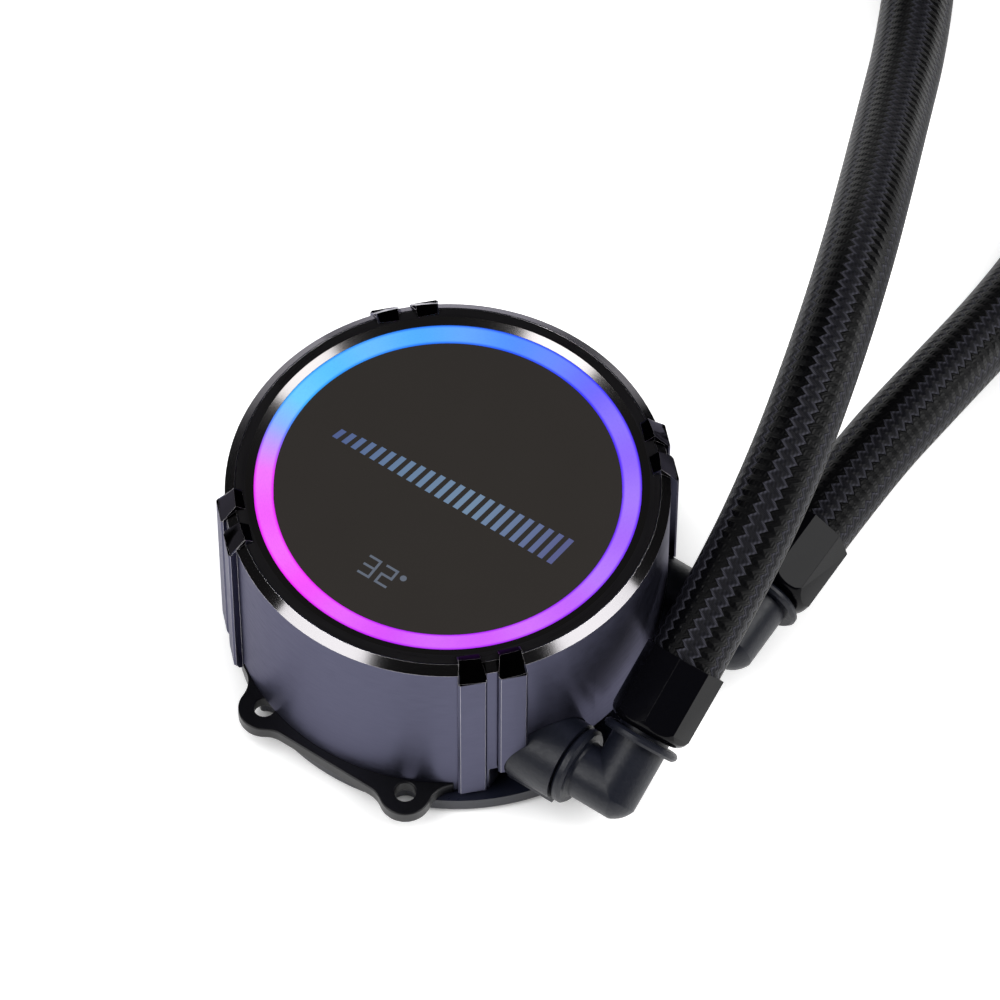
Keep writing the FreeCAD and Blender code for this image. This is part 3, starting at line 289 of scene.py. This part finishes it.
# The pairs of ribs stand at this angle and every quarter turn on. A pair, and the gap in its middle,
# reach so many degrees to either side.
PAIR_PLACE = 46.3
PAIR_HALF = 8.3
PAIR_GAP_HALF = 1.4
HOOK_LOW = 36.85 * MM
SHELL_COLOR = (0.073, 0.074, 0.112)
EDGE_COLOR = (0.145, 0.14, 0.145)
# The hooks' slopes are coloured near black: painted shade for the dark they face and reflect.
HOOK_SHADE_COLOR = (0.010, 0.0094, 0.011)


def shell_finish():
    """Dark blue-grey turned metal, with a polished bevel round the top, and polished hooks on the ribs that are
    coloured near black as painted shade.
    """
    material, tree, shader = new_material("shell_metal", SHELL_COLOR, 0.3, 1.0, Anisotropic=0.8,
                                          Anisotropic_Rotation=0.25, Specular_Tint=(0.66, 0.65, 0.72, 1))
    around = add_node(tree, "ShaderNodeTangent", direction_type="RADIAL", axis="Z")
    tree.links.new(around.outputs["Tangent"], shader.inputs["Tangent"])
    marks = use_group(tree, LATHE, Lines=2400.0, Depth=0.0000002, Smoothest=0.28, Roughest=0.37)
    radius, angle, z = polar_place(tree)
    band = between(tree, radius, EDGE_INNER, EDGE_OUTER)
    ring = calc(tree, "MULTIPLY", band, calc(tree, "GREATER_THAN", z, EDGE_LOW))
    # How far a point is from the middle of the nearest pair of ribs
    turn = calc(tree, "ADD", angle, math.pi * 2 - math.radians(PAIR_PLACE - 45))
    quarter = calc(tree, "MODULO", turn, math.pi / 2)
    off_middle = calc(tree, "ABSOLUTE", calc(tree, "SUBTRACT", quarter, math.pi / 4))
    clear = calc(tree, "GREATER_THAN", off_middle, math.radians(PAIR_HALF))
    gap = calc(tree, "LESS_THAN", off_middle, math.radians(PAIR_GAP_HALF))
    free = calc(tree, "MAXIMUM", clear, gap)
    edge = calc(tree, "MULTIPLY", ring, free)
    hook = calc(tree, "MULTIPLY", calc(tree, "GREATER_THAN", z, HOOK_LOW), calc(tree, "SUBTRACT", 1.0, free))
    color = blend_color(tree, edge, SHELL_COLOR, EDGE_COLOR)
    # Painted shade: the hooks' slopes take the near black colour.
    tree.links.new(blend_color(tree, hook, color, HOOK_SHADE_COLOR), shader.inputs["Base Color"])
    polish = calc(tree, "MAXIMUM", edge, hook)
    tree.links.new(blend_value(tree, polish, marks.outputs["Roughness"], 0.14), shader.inputs["Roughness"])
    tree.links.new(marks.outputs["Normal"], shader.inputs["Normal"])
    return material


RING_MIDDLE = 28.9 * MM
GLOW_PLACES = 12.0
GLOW_SHARE = 0.024


def light_finish():
    """Clouded ring lit from below, from sky blue at the back to magenta at the front left."""
    material, tree, shader = new_material("ring_light", (0.01, 0.01, 0.012), 0.3)
    radius, angle, _ = polar_place(tree)
    share = add_node(tree, "ShaderNodeMapRange", in_Value=angle, in_From_Min=-math.pi, in_From_Max=math.pi)
    stops = [(0.0, (92, 204, 255)), (0.03, (138, 182, 255)), (0.08, (245, 104, 255)), (0.2, (250, 84, 255)),
             (0.3, (218, 84, 255)), (0.42, (210, 98, 255)), (0.5, (180, 108, 255)), (0.6, (154, 108, 255)),
             (0.69, (118, 100, 255)), (0.75, (84, 128, 255)), (0.85, (76, 168, 255)), (1.0, (92, 204, 255))]
    color = ramp(tree, share.outputs["Result"], [(place, shade(*tone)) for place, tone in stops])
    # Paler in twelve places, each over two of the 24 lamps
    wave = calc(tree, "COSINE", calc(tree, "MULTIPLY", angle, GLOW_PLACES))
    glow = calc(tree, "MULTIPLY", calc(tree, "ADD", wave, 1.0), GLOW_SHARE)
    color = blend_color(tree, glow, color, (1, 1, 1))
    # The colour deepens towards both edges of the ring
    middle = calc(tree, "ABSOLUTE", calc(tree, "SUBTRACT", radius, RING_MIDDLE))
    edge = add_node(tree, "ShaderNodeMapRange", in_Value=middle, in_From_Min=1.0 * MM, in_From_Max=1.5 * MM,
                    interpolation_type="SMOOTHSTEP")
    deep = blend_color(tree, edge.outputs["Result"], (1, 1, 1), color)
    cloud = add_node(tree, "ShaderNodeTexNoise", in_Scale=140.0, in_Detail=2.0)
    veil = add_node(tree, "ShaderNodeMapRange", in_Value=cloud.outputs["Fac"], in_From_Min=0.3, in_From_Max=0.7,
                    in_To_Min=0.93, in_To_Max=1.04)
    lit = blend_color(tree, 1.0, color, deep, "MULTIPLY")
    tree.links.new(lit, shader.inputs["Emission Color"])
    tree.links.new(veil.outputs["Result"], shader.inputs["Emission Strength"])
    return material


# The bezel's slope lies inside a radius and above a height
SLOPE_OUTER = 31.69 * MM
SLOPE_LOW = 38.2 * MM
BEZEL_COLOR = (0.0055, 0.005, 0.006)
SLOPE_COLOR = (0.2, 0.19, 0.19)


def bezel_finish():
    """Satin black rim with a polished slope down to the light ring."""
    material, tree, shader = new_material("bezel_black", BEZEL_COLOR, 0.3)
    radius, _, z = polar_place(tree)
    slope = calc(tree, "MULTIPLY", calc(tree, "LESS_THAN", radius, SLOPE_OUTER),
                 calc(tree, "GREATER_THAN", z, SLOPE_LOW))
    marks = use_group(tree, LATHE, Lines=500.0, Depth=0.0000002, Smoothest=0.26, Roughest=0.36)
    tree.links.new(blend_color(tree, slope, BEZEL_COLOR, SLOPE_COLOR), shader.inputs["Base Color"])
    tree.links.new(slope, shader.inputs["Metallic"])
    tree.links.new(blend_value(tree, slope, marks.outputs["Roughness"], 0.12), shader.inputs["Roughness"])
    tree.links.new(marks.outputs["Normal"], shader.inputs["Normal"])
    return material


COLUMNS = 12
YARNS_PER_TOOTH = 4.0
YARN_LEAN = 5.0
STRAND_HEIGHT = 0.12
COLUMN_CROWN = 1.2
GAP_DEPTH = 0.5


def weave_group():
    """Braid from a UV map: columns of slanted yarns, whose joins run in teeth."""
    group = Group("Braided yarns",
                  [("Columns", "NodeSocketFloat", float(COLUMNS)), ("Teeth", "NodeSocketFloat", 206.0),
                   ("Reach", "NodeSocketFloat", 0.34)],
                  [("Height", "NodeSocketFloat"), ("Gap", "NodeSocketFloat"), ("Side", "NodeSocketFloat"),
                   ("Yarn", "NodeSocketFloat"), ("Tooth_glint", "NodeSocketFloat")])
    tree = group.tree
    sheet = group.add("ShaderNodeUVMap", uv_map="UVMap").outputs[0]
    u, v, _ = group.add("ShaderNodeSeparateXYZ", in_0=sheet).outputs
    along = calc(tree, "MULTIPLY", v, group.asked("Teeth"))
    wave = calc(tree, "ABSOLUTE", calc(tree, "SUBTRACT", calc(tree, "FRACT", along), 0.5))
    shift = calc(tree, "MULTIPLY", calc(tree, "SUBTRACT", wave, 0.25), group.asked("Reach"))
    around = calc(tree, "ADD", calc(tree, "MULTIPLY", u, group.asked("Columns")), calc(tree, "MULTIPLY", shift, 2.0))
    inside = calc(tree, "FRACT", around)
    side = calc(tree, "MODULO", calc(tree, "FLOOR", calc(tree, "ADD", around, float(COLUMNS))), 2.0)
    rim = calc(tree, "MINIMUM", inside, calc(tree, "SUBTRACT", 1.0, inside))

    def falling(near, far):
        """1 up to the first distance from a column's rim, 0 beyond the second."""
        return group.add("ShaderNodeMapRange", in_Value=rim, in_From_Min=near, in_From_Max=far, in_To_Min=1.0,
                         in_To_Max=0.0, interpolation_type="SMOOTHSTEP")

    gap = falling(0.0, 0.06)
    # A band along each column's toothed rim, used only to place a painted highlight on the braid.
    tooth_glint = falling(0.1, 0.3)
    lean = calc(tree, "SUBTRACT", calc(tree, "MULTIPLY", side, 2.0), 1.0)
    slant = calc(tree, "MULTIPLY", calc(tree, "MULTIPLY", lean, inside), YARN_LEAN)
    yarns = calc(tree, "ADD", calc(tree, "MULTIPLY", along, YARNS_PER_TOOTH), slant)
    off_strand = calc(tree, "ABSOLUTE", calc(tree, "SUBTRACT", calc(tree, "FRACT", yarns), 0.5))
    strand = calc(tree, "MULTIPLY", off_strand, 2.0)
    crown = calc(tree, "MULTIPLY", rim, COLUMN_CROWN)
    height = calc(tree, "ADD", calc(tree, "MULTIPLY", strand, STRAND_HEIGHT), crown)
    height = calc(tree, "SUBTRACT", height, calc(tree, "MULTIPLY", gap.outputs["Result"], GAP_DEPTH))
    group.give("Height", height)
    group.give("Gap", gap.outputs["Result"])
    group.give("Side", side)
    group.give("Yarn", strand)
    group.give("Tooth_glint", tooth_glint.outputs["Result"])
    return group.tree


WEAVE = weave_group()


def braid_finish():
    """Black braid: columns of flat yarns that lean left and right in turn, with toothed joins. Its colour holds
    painted light: a sheen on every other column, highlights along the joins, and shade between the strands and in
    the gaps.
    """
    material, tree, shader = new_material("hose_yarn", (0.012, 0.012, 0.015), 0.4, Specular_IOR_Level=0.12)
    weave = use_group(tree, WEAVE, Columns=float(COLUMNS))
    # Painted highlight: the toothed joins of the columns are coloured bright where they would glint.
    light = blend_color(tree, weave.outputs["Tooth_glint"], (0.009, 0.009, 0.0125), (0.05, 0.05, 0.065))
    # Painted sheen: every other column is coloured lighter, as if its yarns caught the light. The joins' painted
    # highlights go in with it.
    sheen_and_glint = blend_color(tree, weave.outputs["Side"], (0.0014, 0.0014, 0.0019), light)
    # Painted shade: the colour is darker where the yarns lie low and lighter where they stand high.
    strand_shade = blend_color(tree, weave.outputs["Yarn"], (0.5, 0.5, 0.5), (1.3, 1.3, 1.3))
    painted_yarn = blend_color(tree, 1.0, sheen_and_glint, strand_shade, "MULTIPLY")
    # Painted shade: the gaps between the columns are coloured near black.
    color = blend_color(tree, weave.outputs["Gap"], painted_yarn, (0.002, 0.002, 0.002))
    tree.links.new(color, shader.inputs["Base Color"])
    tree.links.new(blend_value(tree, weave.outputs["Side"], 0.36, 0.5), shader.inputs["Roughness"])
    bump = add_node(tree, "ShaderNodeBump", in_Height=weave.outputs["Height"], in_Distance=0.0004)
    tree.links.new(bump.outputs["Normal"], shader.inputs["Normal"])
    return material


# Half the gauge's length, and the height on the display below which the reading stands
LINE_HALF = 21 * MM
READING_BELOW = -8 * MM


def figures_finish():
    """Lit figures of the display, whose blue-grey changes along the line."""
    material, tree, shader = new_material("display_figures", (0.01, 0.01, 0.01), 0.35)
    place = add_node(tree, "ShaderNodeTexCoord").outputs["Object"]
    x, y, _ = add_node(tree, "ShaderNodeSeparateXYZ", in_0=place).outputs
    share = add_node(tree, "ShaderNodeMapRange", in_Value=x, in_From_Min=-LINE_HALF, in_From_Max=LINE_HALF)
    line = ramp(tree, share.outputs["Result"], [(0.0, shade(74, 88, 138)), (0.3, shade(100, 126, 158)),
                                                (0.62, shade(112, 138, 166)), (1.0, shade(86, 92, 140))])
    low = calc(tree, "LESS_THAN", y, READING_BELOW)
    color = blend_color(tree, low, line, shade(96, 104, 118))
    tree.links.new(color, shader.inputs["Emission Color"])
    shader.inputs["Emission Strength"].default_value = 0.95
    return material


def finishes():
    """Every finish by the name of the record's material slot."""
    return {
        "copper": turned("cold_plate_copper", (0.78, 0.36, 0.22), 0.2, 0.35, lines=1200.0),
        "black_rubber": grained("seal_rubber", (0.012, 0.012, 0.013), 0.6, 0.75),
        "satin_black": grained("skirt_black", (0.010, 0.0115, 0.022), 0.24, 0.34, depth=0.000004,
                               Specular_IOR_Level=0.35),
        "satin_black_metal": grained("ear_powder_coat", (0.003, 0.003, 0.0042), 0.3, 0.4, scale=1800.0,
                                     depth=0.000006, Specular_IOR_Level=0.3),
        "grainy_black": grained("elbow_plastic", (0.0075, 0.009, 0.016), 0.36, 0.5, scale=1500.0, depth=0.00005,
                                Specular_IOR_Level=0.3),
        "steel": grained("screw_steel", (0.35, 0.35, 0.37), 0.25, 0.4, metallic=1.0),
        "ceramic_white": grained("washer_ceramic", (0.8, 0.79, 0.76), 0.2, 0.3),
        "white_plastic": grained("impeller_plastic", (0.75, 0.75, 0.72), 0.35, 0.5),
        "magnet": grained("rotor_ferrite", (0.05, 0.05, 0.055), 0.5, 0.65),
        "carbon": grained("bush_carbon", (0.03, 0.03, 0.03), 0.35, 0.5),
        "core_steel": grained("core_laminations", (0.2, 0.2, 0.21), 0.4, 0.55, metallic=1.0),
        "winding": grained("coil_wire", (0.6, 0.25, 0.09), 0.25, 0.4, metallic=1.0),
        "board_green": grained("board_mask", (0.01, 0.07, 0.035), 0.3, 0.4),
        "led_body": grained("lamp_bodies", (0.8, 0.8, 0.72), 0.35, 0.5),
        "lit_ring": light_finish(),
        "bezel": bezel_finish(),
        "worn_edge": grained("polished_edge", (0.8, 0.77, 0.8), 0.25, 0.35, scale=900.0, depth=0.000001,
                             metallic=1.0),
        "figures": figures_finish(),
        "gloss_black": grained("ferrule_gloss", (0.0028, 0.0028, 0.004), 0.1, 0.15, scale=400.0, depth=0.0000004,
                               Specular_IOR_Level=0.08),
        "panel_black": grained("panel_housing", (0.01, 0.01, 0.01), 0.4, 0.5),
        "display": grained("display_cover", (0.030, 0.0262, 0.0235), 0.3, 0.36, scale=3500.0, depth=0.000001),
        "shell_blue_black": shell_finish(),
        "braid": braid_finish(),
    }


def dress_cad_nodes(made):
    """Gives each CAD node the finish of its material slot. The bezel has one of its own."""
    for name, node in nodes.items():
        finish = "bezel" if name == "top_bezel" else SLOTS[name]
        node.data.materials.clear()
        node.data.materials.append(made[finish])


# ---------------------------------------------------------------- hoses

HOSE_ROUTES = {
    1: [(43.4, -6.964, 16.15), (43.4, 14.687, 28.65), (41.0, 33.6, 36.6), (35.6, 53.6, 40.0), (28.7, 73.0, 38.0),
        (20.8, 91.6, 31.2), (12.4, 110.4, 22.4), (4.0, 129.6, 14.4), (-6.5, 150.0, 8.9), (-22.5, 168.5, 6.4),
        (-46.1, 184.2, 6.4), (-73.9, 190.2, 6.4), (-101.6, 184.9, 6.4), (-125.4, 169.6, 6.4),
        (-142.2, 147.0, 6.4), (-149.3, 121.2, 6.4)],
    2: [(43.4, 27.966, 11.877), (43.4, 52.779, 14.924), (44.6, 73.5, 14.2), (44.9, 95.0, 10.4), (43.4, 116.0, 7.3),
        (38.5, 139.5, 6.4), (25.5, 168.7, 6.4), (5.4, 193.6, 6.4), (-20.8, 212.0, 6.4), (-51.1, 222.4, 6.4),
        (-83.1, 224.1, 6.4), (-114.3, 216.9, 6.4), (-142.3, 201.4, 6.4), (-164.9, 178.8, 6.4)],
}
HOSE_RADIUS = 6.05 * MM
YARN_RISE = 0.05 * MM
HOSE_ROWS = 560
STEPS_PER_COLUMN = 10
SAME_PLACE = 1e-6


def route_line(name, points):
    """The smooth centreline of a hose, as points along a NURBS spline."""
    curve = bpy.data.curves.new(name, "CURVE")
    curve.dimensions = "3D"
    curve.resolution_u = 24
    spline = curve.splines.new("NURBS")
    spline.points.add(len(points) - 1)
    for point, place in zip(spline.points, points):
        point.co = (*(Vector(place) * MM), 1)
    spline.order_u = 3
    spline.use_endpoint_u = True
    carrier = bpy.data.objects.new(name, curve)
    scene.collection.objects.link(carrier)
    bpy.context.view_layer.update()
    line = bpy.data.meshes.new_from_object(carrier.evaluated_get(bpy.context.evaluated_depsgraph_get()))
    places = [vertex.co.copy() for vertex in line.vertices]
    bpy.data.objects.remove(carrier)
    bpy.data.meshes.remove(line)
    return places


def even_frames(places, count):
    """Evenly spaced places along a line, each with two directions across it that don't twist."""
    lengths = [0.0]
    for before, after in zip(places, places[1:]):
        lengths.append(lengths[-1] + (after - before).length)
    total = lengths[-1]
    frames = []
    across = None
    segment = 0
    for number in range(count + 1):
        wanted = total * number / count
        while segment < len(places) - 2 and lengths[segment + 1] < wanted:
            segment += 1
        share = (wanted - lengths[segment]) / (lengths[segment + 1] - lengths[segment])
        place = places[segment].lerp(places[segment + 1], min(max(share, 0), 1))
        way = (places[segment + 1] - places[segment]).normalized()
        if across is None:
            across = way.cross(Vector((0, 0, 1))).normalized()
        across = (across - way * across.dot(way)).normalized()
        frames.append((place, across, way.cross(across)))
    return frames


def braided_hose(number, made):
    """A woven sheet rolled round the hose's route, its columns of yarn standing slightly proud in turn."""
    places = route_line(f"route_{number}", HOSE_ROUTES[number])
    frames = even_frames(places, HOSE_ROWS)
    mesh = bmesh.new()
    bmesh.ops.create_grid(mesh, x_segments=COLUMNS * STEPS_PER_COLUMN, y_segments=HOSE_ROWS, size=0.5)
    uv = mesh.loops.layers.uv.new("UVMap")
    for face in mesh.faces:
        face.smooth = True
        for loop in face.loops:
            loop[uv].uv = (loop.vert.co.x + 0.5, loop.vert.co.y + 0.5)
    for vertex in mesh.verts:
        share = vertex.co.x + 0.5
        row = round((vertex.co.y + 0.5) * HOSE_ROWS)
        place, across, over = frames[row]
        column = share * COLUMNS % 2
        radius = HOSE_RADIUS + YARN_RISE * math.sin(math.pi * column)
        angle = share * 2 * math.pi
        vertex.co = place + (across * math.cos(angle) + over * math.sin(angle)) * radius
    bmesh.ops.remove_doubles(mesh, verts=mesh.verts, dist=SAME_PLACE)
    bmesh.ops.recalc_face_normals(mesh, faces=mesh.faces)
    data = bpy.data.meshes.new(f"braided_hose_{number}")
    mesh.to_mesh(data)
    mesh.free()
    data.materials.append(made["braid"])
    hose = bpy.data.objects.new(f"braided_hose_{number}", data)
    scene.collection.objects.link(hose)
    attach(hose, f"elbow_{number}_arm")
    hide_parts(f"hose_{number}")


# ---------------------------------------------------------------- finer copies of CAD pieces

WELD = 2e-6
# Faces that meet at less than the first angle are joined, edges above the second are broken,
# and those above the third stay sharp in the shading
FLAT_BELOW = math.radians(0.6)
BROKEN_ABOVE = math.radians(26)
SHARP_ABOVE = math.radians(14)


def softened(name, width, finish, made, body="head", polished=None):
    """A copy of a CAD piece with its sharp edges broken by a small bevel, which may have its own finish."""
    source = nodes[name]
    mesh = bmesh.new()
    mesh.from_mesh(source.data)
    bmesh.ops.transform(mesh, matrix=source.matrix_world, verts=mesh.verts)
    bmesh.ops.remove_doubles(mesh, verts=mesh.verts, dist=WELD)
    bmesh.ops.dissolve_limit(mesh, angle_limit=FLAT_BELOW, verts=mesh.verts, edges=mesh.edges)
    sharp = [edge for edge in mesh.edges if len(edge.link_faces) == 2 and edge.calc_face_angle(0) > BROKEN_ABOVE]
    bmesh.ops.bevel(mesh, geom=sharp, offset=width, offset_type="OFFSET", segments=1 if polished else 2, profile=0.5,
                    affect="EDGES", clamp_overlap=True, material=1 if polished else -1)
    for face in mesh.faces:
        face.smooth = True
    data = bpy.data.meshes.new(f"{name}_soft")
    mesh.to_mesh(data)
    mesh.free()
    data.set_sharp_from_angle(angle=SHARP_ABOVE)
    data.materials.append(made[finish])
    if polished:
        data.materials.append(made[polished])
    piece = bpy.data.objects.new(f"{name}_soft", data)
    scene.collection.objects.link(piece)
    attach(piece, body)
    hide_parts(name)


# ---------------------------------------------------------------- what the display shows

# In millimetres: the glass's top, and how far the lit marks lie above it
GLASS_TOP = 37.7
MARK_LIFT = 0.02
GAUGE_BARS = 24
GAUGE_START = -20.0
GAUGE_LENGTH = 41.0
READING_LOW = -21.0


def flat_piece(name, outlines, height, finish, made):
    """Thin flat shapes on the glass: each outline is a list of (x, y) corners in millimetres."""
    mesh = bmesh.new()
    for corners in outlines:
        face = mesh.faces.new([mesh.verts.new((x * MM, y * MM, height * MM)) for x, y in corners])
        face.normal_update()
        if face.normal.z < 0:
            face.normal_flip()
    data = bpy.data.meshes.new(name)
    mesh.to_mesh(data)
    mesh.free()
    data.materials.append(made[finish])
    piece = bpy.data.objects.new(name, data)
    scene.collection.objects.link(piece)
    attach(piece, "head")


def bar(x, y, width, height, lean=0.0):
    """A bar that stands on (x, y), leaning along X."""
    top = x + lean
    return [(x - width / 2, y), (x + width / 2, y), (top + width / 2, y + height), (top - width / 2, y + height)]


# The strokes of each figure, from a at the top, clockwise to e at the lower left, and g in the middle
SEGMENTS = {"2": "abged", "3": "abgcd"}


def digit(mark, x, y, wide, tall, line):
    """A plain seven-segment figure whose lower left corner is at (x, y)."""
    half = tall / 2
    places = {
        "a": (x, y + tall - line, wide, line), "g": (x, y + half - line / 2, wide, line), "d": (x, y, wide, line),
        "e": (x, y, line, half), "b": (x + wide - line, y + half, line, half),
        "c": (x + wide - line, y, line, half)}
    shapes = []
    for segment in SEGMENTS[mark]:
        left, low, width, height = places[segment]
        shapes.append([(left, low), (left + width, low), (left + width, low + height), (left, low + height)])
    return shapes


def display_content(made):
    """A level gauge across the middle and a small reading below it."""
    bars = []
    for number in range(GAUGE_BARS):
        x = GAUGE_START + GAUGE_LENGTH * number / (GAUGE_BARS - 1)
        height = 2.0 + 3.6 * (number / (GAUGE_BARS - 1)) ** 0.8
        bars.append(bar(x, -2.6, 0.95, height, 0.5))
    flat_piece("level_gauge", bars, GLASS_TOP + MARK_LIFT, "figures", made)
    reading = []
    for mark, x in (("3", -2.6), ("2", 0.6)):
        reading += digit(mark, x, READING_LOW, wide=2.3, tall=3.8, line=0.42)
    degree = [(4.1 + 0.55 * math.cos(k * math.pi / 6), -17.9 + 0.55 * math.sin(k * math.pi / 6)) for k in range(12)]
    flat_piece("reading", reading + [degree], GLASS_TOP + MARK_LIFT, "figures", made)


# ---------------------------------------------------------------- table and light

TABLE_HALF = 3.0
# How near to the table a piece has to be to shade it
SHADE_REACH = 0.012
# How strongly the even room lights the scene
ROOM_LIGHT = 0.035
# The way to the camera round the Z axis, from which the lamps' places are counted
CAMERA_SIDE = math.radians(-54.6)
LAMP_AIM = (0, 0, 0.03)
# Name, degrees round from the camera's side, degrees above the table, size in metres, watts
LAMPS = (("softbox_right", 71, 41, (0.56, 0.45), 5.0),
         ("softbox_left", -60, 43, (0.56, 0.45), 5.0),
         ("softbox_high_right", 97, 60, (0.34, 0.3), 1.6),
         ("softbox_high_left", -88, 66, (0.3, 0.3), 1.6))


def table():
    """White table that goes off beyond the view and keeps a faint shadow of the object, with a painted contact
    shadow where its glow is dimmed near the pieces.
    """
    mesh = bmesh.new()
    bmesh.ops.create_grid(mesh, x_segments=1, y_segments=1, size=TABLE_HALF)
    data = bpy.data.meshes.new("table")
    mesh.to_mesh(data)
    mesh.free()
    material = bpy.data.materials.new("table_white")
    material.use_nodes = True
    tree = material.node_tree
    shader = tree.nodes["Principled BSDF"]
    shader.inputs["Base Color"].default_value = (0.8, 0.8, 0.8, 1)
    shader.inputs["Roughness"].default_value = 0.9
    shader.inputs["Specular IOR Level"].default_value = 0.0
    path = add_node(tree, "ShaderNodeLightPath")
    seen = calc(tree, "MAXIMUM", path.outputs["Is Camera Ray"], path.outputs["Is Glossy Ray"])
    seen = calc(tree, "MAXIMUM", seen, path.outputs["Is Transmission Ray"])
    near = add_node(tree, "ShaderNodeAmbientOcclusion", samples=4, in_Distance=SHADE_REACH)
    # Painted contact shadow: the glow is dimmed by ambient occlusion near the pieces.
    tree.links.new(calc(tree, "MULTIPLY", seen, near.outputs["AO"]), shader.inputs["Emission Strength"])
    shader.inputs["Emission Color"].default_value = (1, 1, 1, 1)
    data.materials.append(material)
    floor = bpy.data.objects.new("table", data)
    scene.collection.objects.link(floor)


def softbox(name, place, size, power):
    """A rectangular lamp that faces the object."""
    light = bpy.data.lights.new(name, "AREA")
    light.shape = "RECTANGLE"
    light.size, light.size_y = size
    light.energy = power
    lamp = bpy.data.objects.new(name, light)
    scene.collection.objects.link(lamp)
    lamp.location = place
    lamp.rotation_euler = (Vector(LAMP_AIM) - place).to_track_quat("-Z", "Y").to_euler()


def lights():
    """Two large softboxes beside the camera, two higher ones, and a dim even room."""
    for name, swing, height, size, power in LAMPS:
        way = CAMERA_SIDE + math.radians(swing)
        rise = math.radians(height)
        place = Vector((math.cos(way) * math.cos(rise), math.sin(way) * math.cos(rise), math.sin(rise) + 0.04))
        softbox(name, place, size, power)
    world = bpy.data.worlds.new("studio")
    scene.world = world
    world.use_nodes = True
    background = world.node_tree.nodes["Background"]
    background.inputs["Color"].default_value = (1, 1, 1, 1)
    background.inputs["Strength"].default_value = ROOM_LIGHT
    scene.view_settings.view_transform = "Standard"


place_camera()
FINISHES = finishes()
dress_cad_nodes(FINISHES)
for number in (1, 2):
    braided_hose(number, FINISHES)
softened("outer_shell", 0.16 * MM, "shell_blue_black", FINISHES, polished="worn_edge")
softened("mounting_plate", 0.2 * MM, "satin_black_metal", FINISHES)
for number in (1, 2):
    softened(f"ferrule_{number}", 0.5 * MM, "gloss_black", FINISHES, f"elbow_{number}_arm")
display_content(FINISHES)
table()
lights()
